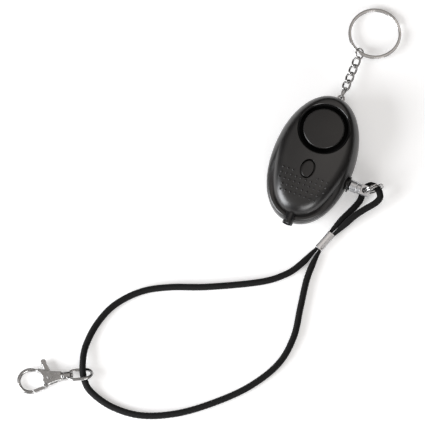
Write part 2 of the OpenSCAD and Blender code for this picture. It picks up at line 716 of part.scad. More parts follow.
module swivel_eye() {
    r = eye_w / 2;
    color("#d6d8db") snap_frame() rotate([eye_roll, 0, 0]) difference() {
        union() {
            translate([eye_near_x - r, 0, 0]) rotate(-90)
                rotate_extrude(angle = 180) translate([r, 0]) circle(d = eye_wire_d);
            translate([eye_far_x + r, 0, 0]) rotate(90)
                rotate_extrude(angle = 180) translate([r, 0]) circle(d = eye_wire_d);
            for (side = [-1, 1]) translate([eye_far_x + r, side * r, 0]) rotate([0, 90, 0])
                cylinder(d = eye_wire_d, h = eye_near_x - eye_far_x - 2 * r);
            translate([eye_near_x - eye_boss_l / 2, 0, 0]) rotate([0, 90, 0])
                cylinder(d = eye_boss_d, h = eye_boss_l);
        }
        translate([eye_near_x, 0, 0]) rotate([0, 90, 0])
            cylinder(d = swivel_post_d + 2 * play, h = eye_boss_l + 4, center = true);
    }
}

// Cheek plates of the snap: wide at the rivet, narrow at the swivel
cheek_edge = 0.35;
cheek_outline = [[-6.2, -2.3], [-2, -2.9], [1.5, -3.6], [5.2, -4.9], [6.8, -4.6], [6.8, -1], [3.4, 3.6],
    [1.4, 4.3], [-2, 3.2], [-6.2, 2.3]];
cheek_slot_x = 3.4;
arm_turn = 25;
arm_l = 4.6;
module cheek_plate(size, t) {
    mid = [0.6, -0.4];
    linear_extrude(t, center = true) polygon([for (q = cheek_outline) mid + size * (q - mid)]);
}

module hook_body() {
    head_x = eye_near_x - eye_boss_l / 2 - play - swivel_head_t;
    neck_d = 5;
    color("#d6d8db") snap_frame() difference() {
        union() {
            cheek_plate(1, hook_base_t - 2 * cheek_edge);
            cheek_plate(0.92, hook_base_t);
            translate([swivel_neck_x, 0, 0]) rotate([0, 90, 0]) {
                cylinder(d = neck_d, h = 0.9);
                cylinder(d1 = neck_d - 1, d2 = hook_base_t - cheek_edge, h = -swivel_neck_x - 4.6);
            }
            translate([head_x, 0, 0]) rotate([0, 90, 0]) {
                cylinder(d = swivel_post_d, h = swivel_neck_x - head_x + 0.2);
                cylinder(d = swivel_head_d, h = swivel_head_t);
            }
            translate([hook_bow[0], hook_bow[1], 0]) rotate(-90 - arm_turn) {
                translate([hook_bow_r, 0, 0]) rotate([90, 0, 0]) cylinder(d = hook_bar_d, h = arm_l);
                rotate_extrude(angle = 90 + arm_turn + hook_tip_angle)
                    translate([hook_bow_r, 0]) circle(d = hook_bar_d);
            }
        }
        translate([hook_bow[0] - 2, hook_bow[1], 0])
            cylinder(r = hook_bow_r - hook_bar_d / 2, h = beyond, center = true);
        translate([-3.8, -beyond / 2, -slot_t / 2]) cube([cheek_slot_x + 3.8, beyond, slot_t]);
        translate([-3.8, -1, -slot_t / 2]) cube([cheek_slot_x + 6, beyond, slot_t]);
        intersection() {
            cylinder(r = gate_reach + gate_gap, h = beyond, center = true);
            translate([cheek_slot_x + 2, 4.2, -beyond / 2]) cube([beyond, beyond, beyond]);
        }
        cylinder(d = rivet_d + 2 * fit, h = beyond, center = true);
    }
}

module trigger_rivet() {
    head_d = rivet_d + 1.2;
    color("#c2c4c8") snap_frame() {
        cylinder(d = rivet_d, h = hook_base_t + 1, center = true);
        for (side = [-1, 1]) translate([0, 0, side * (hook_base_t / 2 + fit + 0.25)])
            cylinder(d = head_d, h = 0.5, center = true);
    }
}

module trigger_lever() {
    gate_a = [1.2, 3];
    gate_b = [3.2, 5.3];
    gate_c = [9.8, 7.2];
    tab_tip = [2.8, -8.4];
    gate_d = 1.9;
    color("#d0d2d6") snap_frame() difference() {
        intersection() {
            union() {
                cylinder(d = lever_hub_d, h = lever_t, center = true);
                linear_extrude(lever_t, center = true) polygon([[-1.4, 1], [gate_b[0] - 1.3, gate_b[1] + 0.4],
                    [gate_b[0] + 0.5, gate_b[1] - 0.9], [2.2, 0]]);
                linear_extrude(gate_d, center = true) polygon([[gate_b[0] - 1.3, gate_b[1] + 0.4],
                    [gate_c[0] - 0.3, gate_c[1] + 0.9], [gate_c[0] + 0.5, gate_c[1] - 0.9],
                    [gate_b[0] + 0.5, gate_b[1] - 0.9]]);
                linear_extrude(lever_t, center = true) polygon([[-1.6, -1], [tab_tip[0] - 1.3, tab_tip[1] + 0.4],
                    [tab_tip[0] + 0.9, tab_tip[1]], [1.9, -1]]);
                translate(tab_tip) cylinder(d = 3, h = lever_t, center = true);
            }
            cylinder(r = gate_reach, h = beyond, center = true);
        }
        cylinder(d = rivet_d + 2 * play, h = beyond, center = true);
        translate([0, 0, -lever_t / 2 + 0.3]) cylinder(d = rivet_d + 2.2, h = beyond);
    }
}

module trigger_spring() {
    wire = 0.3;
    turns = 2;
    steps = 16;
    r = rivet_d / 2 + 0.55;
    rise = lever_t - 0.8;
    path = [for (i = [0 : turns * steps]) let (a = 360 * i / steps)
        [r * cos(a), r * sin(a), -lever_t / 2 + 0.55 + rise * i / (turns * steps) * 0.8]];
    color("#b5b7ba") snap_frame()
        carried(path, [for (p = path) [0, 0, 1]], [for (p = path) round_section(wire / 2, 6)], false);
}

// Line of the chain: from the staple's bow towards +Y, dropping to the table
module chain_line() {
    translate([anchor_x, anchor_y, anchor_z]) rotate([-chain_drop, 0, 0]) children();
}

module chain_link(k) {
    twist = link_twists[k];
    function link_angle(y) = twist[0] + (twist[1] - twist[0]) * (y / link_l + 0.5);
    loop = [for (i = [0 : link_rings - 1]) let (a = 360 * i / link_rings)
        [link_w / 2 * signed_pow(cos(a), 0.85), link_l / 2 * signed_pow(sin(a), 0.85)]];
    path = [for (q = loop) let (t = link_angle(q[1])) [q[0] * cos(t), q[1], q[0] * sin(t)]];
    guides = [for (q = loop) let (t = link_angle(q[1])) [-sin(t), 0, cos(t)]];
    color("#d6d8db") chain_line() translate([0, first_link_mid + k * link_pitch, 0])
        carried(path, guides, [for (q = loop) round_section(link_wire_d / 2, 8)], true);
}
module chain_link_1() { chain_link(0); }
module chain_link_2() { chain_link(1); }
module chain_link_3() { chain_link(2); }
module chain_link_4() { chain_link(3); }
module chain_link_5() { chain_link(4); }

module connector_ring() {
    slit = 5;
    color("#d6d8db") chain_line() translate([0, connector_mid, 0]) rotate([0, connector_roll, 0]) rotate(slit / 2)
        rotate_extrude(angle = 360 - slit) translate([connector_d / 2, 0]) circle(d = connector_wire_d);
}

module key_ring() {
    r = (key_ring_d - key_band_w) / 2;
    color("#d6d8db") chain_line() translate([0, key_band_mid, 0]) rotate([0, 0, key_ring_turn])
        rotate([key_ring_tilt, 0, 0]) translate([0, r, 0]) rotate(60)
            split_ring(key_ring_d, key_band_w, key_band_t, 36);
}

front_shell();
rear_shell();
siren_housing();
siren_cap();
sounder_seal();
siren_sounder();
circuit_board();
booster_coil();
tact_switch();
battery_cells();
battery_contacts();
pin_contacts();
led_lamp();
led_bezel();
pin_socket();
case_screws();
chain_anchor();
light_button();
pull_pin();
pin_ring();
pin_loop_cord();
wrist_loop_cord();
cord_ferrule();
swivel_eye();
hook_body();
trigger_lever();
trigger_rivet();
trigger_spring();
chain_link_1();
chain_link_2();
chain_link_3();
chain_link_4();
chain_link_5();
connector_ring();
key_ring();
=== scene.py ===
# %% [markdown]
# # Personal safety alarm
# A pocket alarm lies on white paper: an egg-shaped plastic case with a siren, a lamp button and a
# pull pin, a curb chain with a split key ring, and a cord strap with a trigger snap. The solids
# come from the CAD frame. This lesson dresses them: it models finer skins over some of them,
# gives every piece a finish, and lights the scene. Lengths are in metres, and `MM` is one millimetre.

# %% Load the frame
import math

import bmesh
import bpy
import numpy as np
from mathutils import Matrix, Vector


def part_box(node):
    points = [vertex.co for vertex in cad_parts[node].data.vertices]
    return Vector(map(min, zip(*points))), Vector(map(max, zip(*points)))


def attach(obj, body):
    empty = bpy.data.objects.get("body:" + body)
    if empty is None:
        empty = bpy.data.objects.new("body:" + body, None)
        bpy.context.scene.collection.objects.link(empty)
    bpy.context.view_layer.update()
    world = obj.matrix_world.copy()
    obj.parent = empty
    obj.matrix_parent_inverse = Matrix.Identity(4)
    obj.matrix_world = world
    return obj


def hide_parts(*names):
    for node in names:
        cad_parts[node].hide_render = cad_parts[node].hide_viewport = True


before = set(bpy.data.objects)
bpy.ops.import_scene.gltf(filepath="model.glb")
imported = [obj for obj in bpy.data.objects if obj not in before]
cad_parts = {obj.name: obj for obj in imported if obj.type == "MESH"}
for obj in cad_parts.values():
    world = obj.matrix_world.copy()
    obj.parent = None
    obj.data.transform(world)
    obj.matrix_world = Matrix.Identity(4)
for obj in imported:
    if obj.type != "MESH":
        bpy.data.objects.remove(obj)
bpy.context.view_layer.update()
MM = 0.001

# %% [markdown]
# ## Camera
# The photograph is taken from above, about 75 degrees over the table, and the alarm lies turned by
# about 21 degrees in it. Parallel edges stay parallel, so the camera stands far away with a very
# long lens. `VIEW_RIGHT` and `VIEW_UP` are the photograph's own directions on the table.

# %% Camera
VIEW_TARGET = Vector((-39.7, -43.95, 0.0)) * MM
VIEW_TURN = math.radians(21.45)
VIEW_RISE = math.radians(75.03)
VIEW_RIGHT = Vector((math.cos(VIEW_TURN), math.sin(VIEW_TURN), 0))
VIEW_UP = Vector((-math.sin(VIEW_TURN), math.cos(VIEW_TURN), 0))
VIEW_DISTANCE = 5.0
VIEW_WIDTH = 223.63 * MM
SENSOR = 36.0


def make_camera():
    data = bpy.data.cameras.new("photo_camera")
    data.sensor_width = SENSOR
    data.lens = SENSOR * VIEW_DISTANCE / VIEW_WIDTH
    camera = bpy.data.objects.new("photo_camera", data)
    bpy.context.collection.objects.link(camera)
    back = Vector((0, 0, math.sin(VIEW_RISE))) - VIEW_UP * math.cos(VIEW_RISE)
    camera.location = VIEW_TARGET + back * VIEW_DISTANCE
    camera.rotation_euler = (-back).to_track_quat("-Z", "Y").to_euler()
    bpy.context.scene.camera = camera
    print(f"camera: {data.lens:.0f} mm lens, {VIEW_DISTANCE} m away")


make_camera()

# %% [markdown]
# ## From a bmesh to a piece
# A bmesh is only a work bench. `add_piece` closes its seams, turns its faces outwards, shades it
# smooth up to a sharp angle, and lets the finished piece ride on one body of the frame.

# %% Finish a piece
pieces = {}


def shade(mesh, sharp):
    for polygon in mesh.polygons:
        polygon.use_smooth = True
    mesh.set_sharp_from_angle(angle=math.radians(sharp))


def add_piece(name, bm, body, node=None, sharp=30.0):
    bmesh.ops.remove_doubles(bm, verts=bm.verts, dist=1e-7)
    bmesh.ops.recalc_face_normals(bm, faces=bm.faces)
    mesh = bpy.data.meshes.new(name)
    bm.to_mesh(mesh)
    bm.free()
    shade(mesh, sharp)
    piece = bpy.data.objects.new(name, mesh)
    bpy.context.collection.objects.link(piece)
    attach(piece, body)
    if node:
        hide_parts(node)
    pieces[name] = piece
    print(f"{name}: {len(mesh.polygons)} faces on {body}")
    return piece


# %% [markdown]
# ## Extruding a loop from ring to ring
# Shells, cords and chain links are all one closed loop of edges that is pulled along and reshaped
# on the way. A circle gives the loop. Each extrusion makes the next loop, and its vertices move to
# their places on the next ring. A whole-number layer remembers which place a vertex has in its
# ring, because an extrusion copies that layer to the new vertices.


# %% Extrude along rings
def start_bench():
    bm = bmesh.new()
    bm.verts.layers.int.new("place")
    bm.verts.layers.float.new("yarn")
    return bm


def stack(bm, rings, closed=False, yarn=None):
    """Pull a loop of edges through rings of points. Closed joins the last ring to the first."""
    place, mark = bm.verts.layers.int["place"], bm.verts.layers.float["yarn"]
    count = len(rings[0])
    loop = bmesh.ops.create_circle(bm, segments=count, radius=1.0)["verts"]
    for v in loop:
        v[place] = round(math.atan2(v.co.y, v.co.x) / math.tau * count) % count
    edges = list({e for v in loop for e in v.link_edges})
    order = list(range(len(rings))) + ([0] if closed else [])
    for step, k in enumerate(order):
        if step:
            made = bmesh.ops.extrude_edge_only(bm, edges=edges)["geom"]
            loop = {g for g in made if isinstance(g, bmesh.types.BMVert)}
            edges = [g for g in made if isinstance(g, bmesh.types.BMEdge) and set(g.verts) <= loop]
        for v in loop:
            v.co = rings[k][v[place]]
            if yarn:
                v[mark] = yarn[k][v[place]]
        if not closed and step in (0, len(order) - 1):
            bmesh.ops.edgeloop_fill(bm, edges=edges)


# %% [markdown]
# ## Lines in space
# A cord and a chain link follow a line. `through` draws a smooth line through a few points, just as
# the part's source does. `carry` sets a section square to the line at every step; the guide is the
# direction that the section's own upright leans to.


# %% Lines and sections
def through(points, steps):
    points = np.asarray(points, float)
    last = len(points) - 1
    line = []
    for i in range(last):
        a, b, c, d = points[max(i - 1, 0)], points[i], points[i + 1], points[min(i + 2, last)]
        for t in np.arange(steps) / steps:
            line.append(0.5 * (2 * b + (c - a) * t + (2 * a - 5 * b + 4 * c - d) * t ** 2
                               + (3 * b - a - 3 * c + d) * t ** 3))
    return np.array(line + [points[-1]])


def even_steps(line, step):
    """The same line with points at even distances, and its length."""
    along = np.r_[0, np.cumsum(np.linalg.norm(np.diff(line, axis=0), axis=1))]
    wanted = np.linspace(0, along[-1], max(2, round(along[-1] / step)) + 1)
    return np.stack([np.interp(wanted, along, line[:, k]) for k in range(3)], axis=1), along[-1]


def carry(line, guides, sections, closed=False):
    line = np.asarray(line, float)
    n = len(line)
    rings = []
    for i in range(n):
        ahead = line[(i + 1) % n] - line[i - 1] if closed else line[min(i + 1, n - 1)] - line[max(i - 1, 0)]
        side = np.cross(guides[i], ahead)
        side /= np.linalg.norm(side)
        over = np.cross(ahead, side)
        over /= np.linalg.norm(over)
        rings.append([line[i] + x * side + y * over for x, y in sections[i]])
    return rings


def circle_angles(count):
    return [math.tau * k / count for k in range(count)]


def signed_pow(v, p):
    return math.copysign(abs(v) ** p, v)


def soft_box(w, t, sides=20, power=0.45):
    """Section with round corners, w wide and t thick."""
    return [(w / 2 * signed_pow(math.cos(a + math.pi / sides), power),
             t / 2 * signed_pow(math.sin(a + math.pi / sides), power)) for a in circle_angles(sides)]


print("soft box of 2 x 1:", [tuple(round(c, 2) for c in p) for p in soft_box(2, 1, 8)][:2], "...")

# %% [markdown]
# ## Cords
# The strap is two loops of one round woven cord, held in one crimp. The photograph shows the cord
# from end to end, so its length is the length of its route. The sheath is a two-over-two braid:
# eight yarns wind to each side. It could be a bump in the material, but then the edge of the cord
# would be a plain line, so the mesh itself rises where a yarn is on top. The same height is kept
# as an attribute, because the finish paints shade into the gaps between the yarns.

# %% Braided sheath
CORD_D = 3.5 * MM
STRAND_R = 0.8 * MM
SQUEEZE = 10 * MM
YARNS = 8
YARN_RISE, YARN_LEVEL = 0.3 * MM, 0.85
BRAID_PITCH = 9.0 * MM
CORD_SIDES = 32
CORD_STEP = 0.45 * MM
ROUTE_STEPS = 24


def braid_height(angle, along):
    """Height of the sheath, 0 to 1, at an angle round the cord and a distance along it."""
    p = YARNS * (angle / math.tau + along / BRAID_PITCH)
    q = YARNS * (angle / math.tau - along / BRAID_PITCH)
    over = (math.floor(p) + math.floor(q)) % 4 < 2
    across = (p if over else q) % 1.0
    return 1 - (2 * across - 1) ** 2


def make_cord(name, route, node):
    line, length = even_steps(through(np.array(route) * MM, ROUTE_STEPS), CORD_STEP)
    sections, yarn = [], []
    for i, point in enumerate(line):
        near = min(np.linalg.norm(point - line[0]), np.linalg.norm(point - line[-1]))
        r = STRAND_R + (CORD_D / 2 - STRAND_R) * min(1, near / SQUEEZE)
        heights = [braid_height(a, i * CORD_STEP) for a in circle_angles(CORD_SIDES)]
        radii = [r + YARN_RISE * (h - YARN_LEVEL) for h in heights]
        spots = zip(radii, circle_angles(CORD_SIDES))
        sections.append([(q * math.cos(a), q * math.sin(a)) for q, a in spots])
        yarn.append(heights)
    bm = start_bench()
    stack(bm, carry(line, [(0, 0, 1)] * len(line), sections), yarn=yarn)
    piece = add_piece(name, bm, "strap", node, sharp=80)
    print(f"{name}: {length / MM:.1f} mm long")
    return piece, line, length


print("braid height at a crossing and on a yarn:", braid_height(0, 0), braid_height(math.pi / YARNS, 0))

# %% [markdown]
# ## Routes of both loops
# The points lie on the cord's middle line, taken from the photograph. The short loop goes under the
# pin, up through the small ring and back over its other strand. The wrist loop rises once, where it
# passes through the eye of the trigger snap.

# %% Both loops
PIN_LOOP = [
    (22, -33, 2.1), (22.8, -29.6, 2.05), (25.3, -23, 1.8), (28.5, -15.6, 1.8), (30.3, -10.2, 1.9),
    (30.3, -6, 2.1), (30.75, -2.75, 3.4), (33.1, -0.85, 5), (36.2, -1.5, 6.4), (38.6, -3.2, 6.5),
    (39.9, -6, 6.1), (38.5, -9.4, 5.5), (34.7, -14.2, 5), (30.8, -19.8, 4.5), (27.1, -26.8, 3.1),
    (23.7, -33.6, 2.1)]
WRIST_LOOP = [
    (19.1, -41.6, 2.1), (17.4, -45.5, 2.1), (14.1, -53.3, 1.9), (8.8, -61.3, 1.8), (-2.3, -70.3, 1.8),
    (-27, -82.9, 1.8), (-46, -90.6, 1.8), (-59, -98.4, 1.8), (-69, -110, 1.8), (-73.8, -123, 1.8),
    (-74.8, -136.3, 2.4), (-72.4, -146.6, 4.5), (-69, -153.2, 4), (-63.1, -158.2, 2.4), (-50, -161.6, 1.8),
    (-34, -160.3, 1.8), (-17, -152.4, 1.8), (-1, -139.8, 1.8), (13, -125, 1.8), (22.5, -108.4, 1.8),
    (24.8, -92, 1.8), (22.2, -75.2, 1.8), (19.8, -59.7, 1.8), (19.9, -48.1, 2.1), (20.8, -42.2, 2.1)]

short_loop, short_line, short_length = make_cord("short_loop", PIN_LOOP, "pin_loop_cord")
wrist_loop, wrist_line, wrist_length = make_cord("wrist_loop", WRIST_LOOP, "wrist_loop_cord")

# %% [markdown]
# ## Outline of the case
# Seen from above, the case is an egg: two half ovals, the one at the lamp a little fuller. Each
# ring of a shell is this egg, drawn in and lifted. The sizes are those of the part's source, but
# with many more steps, so the skin is smooth where the solid has flat facets.

# %% Egg rings
HALF_W, HALF_L = 21.75 * MM, 35.5 * MM
SIREN_FULLNESS, LAMP_FULLNESS = 2.05, 2.15
EGG_SIDES = 160


def egg_ring(w, l, y, z):
    ring = []
    for t in circle_angles(EGG_SIDES):
        p = 2 / (SIREN_FULLNESS if math.sin(t) >= 0 else LAMP_FULLNESS)
        ring.append((w * signed_pow(math.cos(t), p), y + l * signed_pow(math.sin(t), p), z))
    return ring


def inset_ring(d, z):
    return egg_ring(HALF_W - d, HALF_L - d, 0, z)


def egg_reach(x, y, w, l):
    """How far out a point lies: 1 is on the egg of half width w and half length l."""
    n = SIREN_FULLNESS if y >= 0 else LAMP_FULLNESS
    return (abs(x / w) ** n + abs(y / l) ** n) ** (1 / n)


print("reach of the lamp end:", round(egg_reach(0, -HALF_L, HALF_W, HALF_L), 3))

# %% [markdown]
# ## Shape of the dome
# Inside the rim the front rises in a round shoulder to a nearly flat crown. One angle runs over
# the shoulder from the valley to the crown's edge. Other pieces sit on this dome, so its height
# and its slope can be asked for at any place; on the shoulder, halving finds the right angle.

# %% Dome
PARTING_Z, BODY_H = 9.5 * MM, 20.4 * MM
WALL = 1.9 * MM
RIM_W, RIM_H = 3.0 * MM, 2.7 * MM
CROWN_RISE, CROWN_Y = 1.3 * MM, 4.5 * MM
SHOULDER_SIDE, SHOULDER_END, SHOULDER_TURN = 4.5 * MM, 5.5 * MM, 85.0
VALLEY_Z, CROWN_EDGE_Z = PARTING_Z + RIM_H - 0.3 * MM, BODY_H - CROWN_RISE
BASE_W, BASE_L = HALF_W - RIM_W, HALF_L - RIM_W
CROWN_W, CROWN_L = BASE_W - SHOULDER_SIDE, BASE_L - SHOULDER_END


def shoulder(angle):
    """Half width, half length, shift and height of the dome at a shoulder angle."""
    a, full = math.radians(angle), math.radians(SHOULDER_TURN)
    g = (1 - math.cos(a)) / (1 - math.cos(full))
    rise = math.sin(a) / math.sin(full)
    return (BASE_W - SHOULDER_SIDE * g, BASE_L - SHOULDER_END * g, CROWN_Y * g,
            VALLEY_Z + (CROWN_EDGE_Z - VALLEY_Z) * rise)


def dome_height(x, y):
    f = egg_reach(x, y - CROWN_Y, CROWN_W, CROWN_L)
    if f <= 1:
        return CROWN_EDGE_Z + CROWN_RISE * (1 - f * f)
    low, high = 0.0, SHOULDER_TURN
    for _ in range(30):
        mid = (low + high) / 2
        w, l, shift, z = shoulder(mid)
        low, high = (low, mid) if egg_reach(x, y - shift, w, l) > 1 else (mid, high)
    return z


def dome_normal(x, y, step=0.05 * MM):
    dx = (dome_height(x + step, y) - dome_height(x - step, y)) / (2 * step)
    dy = (dome_height(x, y + step) - dome_height(x, y - step)) / (2 * step)
    return Vector((-dx, -dy, 1)).normalized()


print(f"top of the dome: {dome_height(0, CROWN_Y) / MM:.2f} mm")

# %% [markdown]
# ## Cutting holes
# A hole in a moulded shell has clean walls, and its edge follows the dome. A boolean modifier cuts
# it best: the cutter is a closed mesh, the modifier is applied, and the cutter is taken away.


# %% Cutters
def turn_by(degrees, axis):
    return Matrix.Rotation(math.radians(degrees), 4, axis)


ALONG_X, TOWARDS_LAMP = turn_by(90, "Y"), turn_by(90, "X")


def applied(piece):
    """Replace a piece's mesh by what its modifiers make of it."""
    graph = bpy.context.evaluated_depsgraph_get()
    mesh = bpy.data.meshes.new_from_object(piece.evaluated_get(graph))
    piece.modifiers.clear()
    piece.data = mesh
    return mesh


def cut(piece, cutters, sharp=32):
    for bm in cutters:
        bmesh.ops.recalc_face_normals(bm, faces=bm.faces)
        mesh = bpy.data.meshes.new("cutter")
        bm.to_mesh(mesh)
        bm.free()
        tool = bpy.data.objects.new("cutter", mesh)
        bpy.context.collection.objects.link(tool)
        hole = piece.modifiers.new("hole", "BOOLEAN")
        hole.operation, hole.solver, hole.object = "DIFFERENCE", "EXACT", tool
        applied(piece)
        bpy.data.objects.remove(tool)
    shade(piece.data, sharp)
    print(f"{piece.name}: {len(cutters)} holes, {len(piece.data.polygons)} faces")


def drill(r, start, end, matrix, sides=72):
    bm = bmesh.new()
    middle = Matrix.Translation((0, 0, (start + end) / 2))
    bmesh.ops.create_cone(bm, cap_ends=True, segments=sides, radius1=r, radius2=r, depth=end - start,
                          matrix=matrix @ middle)
    return bm


CLEAR_OF_DOME = 0.04 * MM


def dome_cutter(w, l, y, low, lip, sides=120):
    """Oval cutter of half width w and half length l. Its top opens in a round lip that follows the dome."""
    def oval(grow):
        return [((w + grow) * math.cos(a), y + (l + grow) * math.sin(a)) for a in circle_angles(sides)]

    rings = [[(x, q, low) for x, q in oval(0)]]
    for turn in (0, 30, 60, 90):
        a = math.radians(turn)
        grow, depth = lip * (1 - math.cos(a)), lip * (1 - math.sin(a))
        rings.append([(x, q, dome_height(x, q) - depth + CLEAR_OF_DOME) for x, q in oval(grow)])
    rings.append([(x, q, dome_height(x, q) + MM) for x, q in oval(lip + 0.02 * MM)])
    bm = start_bench()
    stack(bm, rings)
    return bm


print(f"cutters stand {CLEAR_OF_DOME / MM:.2f} mm clear of the dome")

# %% [markdown]
# ## Front shell
# The front half is one loop that runs down from the crown over the shoulder, through the valley,
# over the rim's bead into the groove, and back up along the inner wall. Only the lamp end shows the
# valley: towards the siren `flow_together` blends it into one quarter round. The siren's bore and
# the button's well are cut, and the pin and the lamp get half a hole each at the parting line.

# %% Front shell
GROOVE_GAP, GROOVE_DEPTH = 0.8 * MM, 0.7 * MM
SIREN_Y, SIREN_BORE_R, SIREN_LIP = 15 * MM, 13.65 * MM, 0.65 * MM
BUTTON_Y, BUTTON_W, BUTTON_L, BUTTON_GROOVE = -8.4 * MM, 6.3 * MM, 9.2 * MM, 0.7 * MM
PIN_Y, PIN_BORE_R = -6 * MM, 3.1 * MM
LAMP_Z, LAMP_BORE_R = 11 * MM, 2.9 * MM
WELL_FLOOR, WELL_LIP = 14 * MM, 0.25 * MM
PIN_BORE, LAMP_BORE = (10 * MM, 40 * MM), (29.5 * MM, 50 * MM)


def dome_ring(angle, skin=0.0):
    w, l, y, z = shoulder(angle)
    return egg_ring(w - skin, l - skin, y, z - skin)


def crown_ring(f, skin=0.0):
    return egg_ring((CROWN_W - skin) * f, (CROWN_L - skin) * f, CROWN_Y,
                    CROWN_EDGE_Z - skin + CROWN_RISE * (1 - f * f))


def rim_rings():
    """Rounded bead from the valley inside the rim down to the groove."""
    knots = [(RIM_W, VALLEY_Z), (RIM_W * 0.8, VALLEY_Z + 0.12 * MM), (RIM_W * 0.55, PARTING_Z + RIM_H),
             (RIM_W * 0.27, PARTING_Z + RIM_H * 0.95), (RIM_W * 0.08, PARTING_Z + RIM_H * 0.75),
             (0, PARTING_Z + RIM_H * 0.45), (0.1 * MM, PARTING_Z + GROOVE_GAP / 2)]
    return [inset_ring(d, z) for d, z, _ in through([(d, z, 0) for d, z in knots], 4)[1:]]


VALLEY_ENDS, FLOW_FULL, FLOW_START = -32 * MM, 2 * MM, 7.0


def flow_together(rings):
    """Blend rings from crown to groove into one quarter round, fully so at the siren."""
    top, foot = np.array(rings[0]), np.array(rings[-1])
    share = np.clip((foot[:, 1:2] - VALLEY_ENDS) / (FLOW_FULL - VALLEY_ENDS), 0, 1)
    share = share * share * (3 - 2 * share)
    first = math.radians(FLOW_START)
    blended = []
    for ring, a in zip(rings, np.linspace(first, math.pi / 2, len(rings))):
        out = (math.sin(a) - math.sin(first)) / (1 - math.sin(first))
        down = 1 - math.cos(a) / math.cos(first)
        flowing = top + (foot - top) * np.array([out, out, down])
        blended.append(np.array(ring) * (1 - share) + flowing * share)
    return blended


def edge_bores():
    pin = drill(PIN_BORE_R, *PIN_BORE, Matrix.Translation((0, PIN_Y, PARTING_Z)) @ ALONG_X)
    lamp = drill(LAMP_BORE_R, *LAMP_BORE, Matrix.Translation((0, 0, LAMP_Z)) @ TOWARDS_LAMP)
    return [pin, lamp]


def front_shell():
    rings = [crown_ring(f) for f in (0.04, 0.15, 0.3, 0.45, 0.6, 0.75, 0.88)]
    rings += flow_together([dome_ring(a) for a in np.linspace(SHOULDER_TURN, 0, 18)] + rim_rings())
    rings += [inset_ring(GROOVE_DEPTH, PARTING_Z + GROOVE_GAP / 2), inset_ring(GROOVE_DEPTH, PARTING_Z),
              inset_ring(RIM_W + WALL, PARTING_Z)]
    rings += [dome_ring(a, WALL) for a in (0, 20, 40, 60, 85)] + [crown_ring(f, WALL) for f in (0.7, 0.3)]
    bm = start_bench()
    stack(bm, rings)
    skin = add_piece("front_skin", bm, "case", "front_shell")
    well_w, well_l = BUTTON_W / 2 + BUTTON_GROOVE, BUTTON_L / 2 + BUTTON_GROOVE
    cut(skin, [dome_cutter(SIREN_BORE_R, SIREN_BORE_R, SIREN_Y, PARTING_Z - MM, SIREN_LIP),
               dome_cutter(well_w, well_l, BUTTON_Y, WELL_FLOOR, WELL_LIP)] + edge_bores())


front_shell()

# %% [markdown]
# ## Rear shell
# The rear half is a shallow bowl with a large rounding, and it rests on its flat back. Four screw
# wells are drilled into it. The dark line round the real case is the groove between both halves.

# %% Rear shell
BACK_ROUND, ROUND_H, BACK_SINK = 7.0 * MM, 6.0 * MM, 0.3 * MM
FLOOR_INSET, KNEE_INSET, KNEE_Z, WALL_FOOT_Z = 14 * MM, 3.4 * MM, 4 * MM, 7 * MM
LIP_EDGE = [(0.15 * MM, 0), (0.04 * MM, 0.12 * MM), (0, 0.4 * MM)]
SCREWS = [(14, 3), (-14, 3), (11.6, -20), (-11.6, -20)]
SCREW_WELL_R, SCREW_WELL_TOP = 2.3 * MM, 2.1 * MM


def back_ring(angle):
    a = math.radians(angle)
    return inset_ring(BACK_ROUND * (1 - math.cos(a)), (ROUND_H + BACK_SINK) * (1 - math.sin(a)) - BACK_SINK)


def rear_shell():
    lip = PARTING_Z - GROOVE_GAP / 2
    inside = [(FLOOR_INSET, WALL), (BACK_ROUND + WALL, WALL), (KNEE_INSET, KNEE_Z), (WALL, WALL_FOOT_Z),
              (WALL, PARTING_Z), (GROOVE_DEPTH, PARTING_Z), (GROOVE_DEPTH, lip)]
    rings = [inset_ring(d, z) for d, z in inside] + [inset_ring(d, lip - drop) for d, drop in LIP_EDGE]
    rings += [back_ring(a) for a in (0, 8, 16, 24, 32, 40, 48, 54, 60, 66)]
    flat = math.degrees(math.asin(ROUND_H / (ROUND_H + BACK_SINK)))
    rings += [back_ring(flat), inset_ring(FLOOR_INSET, 0.0)]
    bm = start_bench()
    stack(bm, rings)
    skin = add_piece("rear_skin", bm, "case", "rear_shell")
    wells = [drill(SCREW_WELL_R, -MM, SCREW_WELL_TOP, Matrix.Translation((x * MM, y * MM, 0)), 48)
             for x, y in SCREWS]
    cut(skin, edge_bores() + wells)


rear_shell()

# %% [markdown]
# ## Grip dots
# Small round dots in five rows help the thumb find the lamp end. Each is a sphere, pressed flat,
# that stands on the dome along its normal and sinks a little into the skin.

# %% Grip dots
DOT_R, DOT_H = 0.6 * MM, 0.75 * MM
DOT_STEP = 2.75 * MM
DOT_ROWS = [(-11.8, 3, 5), (-14.6, 1, 5), (-17.4, 1, 5), (-20.3, 1, 4), (-23.3, 1, 4)]


def grip_dots():
    bm = bmesh.new()
    for y, first, last in DOT_ROWS:
        for x in [side * (column - 0.5) * DOT_STEP for column in range(first, last + 1) for side in (-1, 1)]:
            at = Vector((x, y * MM, dome_height(x, y * MM)))
            turn = dome_normal(x, y * MM).to_track_quat("Z", "Y").to_matrix().to_4x4()
            place = Matrix.Translation(at) @ turn @ Matrix.Diagonal((DOT_R, DOT_R, DOT_H, 1))
            bmesh.ops.create_uvsphere(bm, u_segments=12, v_segments=8, radius=1.0, matrix=place)
    add_piece("grip_dots", bm, "case", sharp=80)


grip_dots()

# %% [markdown]
# ## Siren disc
# The disc stands on a post in the middle of the siren's cup, so a ring of dark air is left round
# it. Its bright rim in the photograph is just the rounded edge that catches the lamp. It is turned:
# a few vertices give half of its outline, a bevel on the vertices rounds the corners, and `spin`
# carries the outline once round the axis.

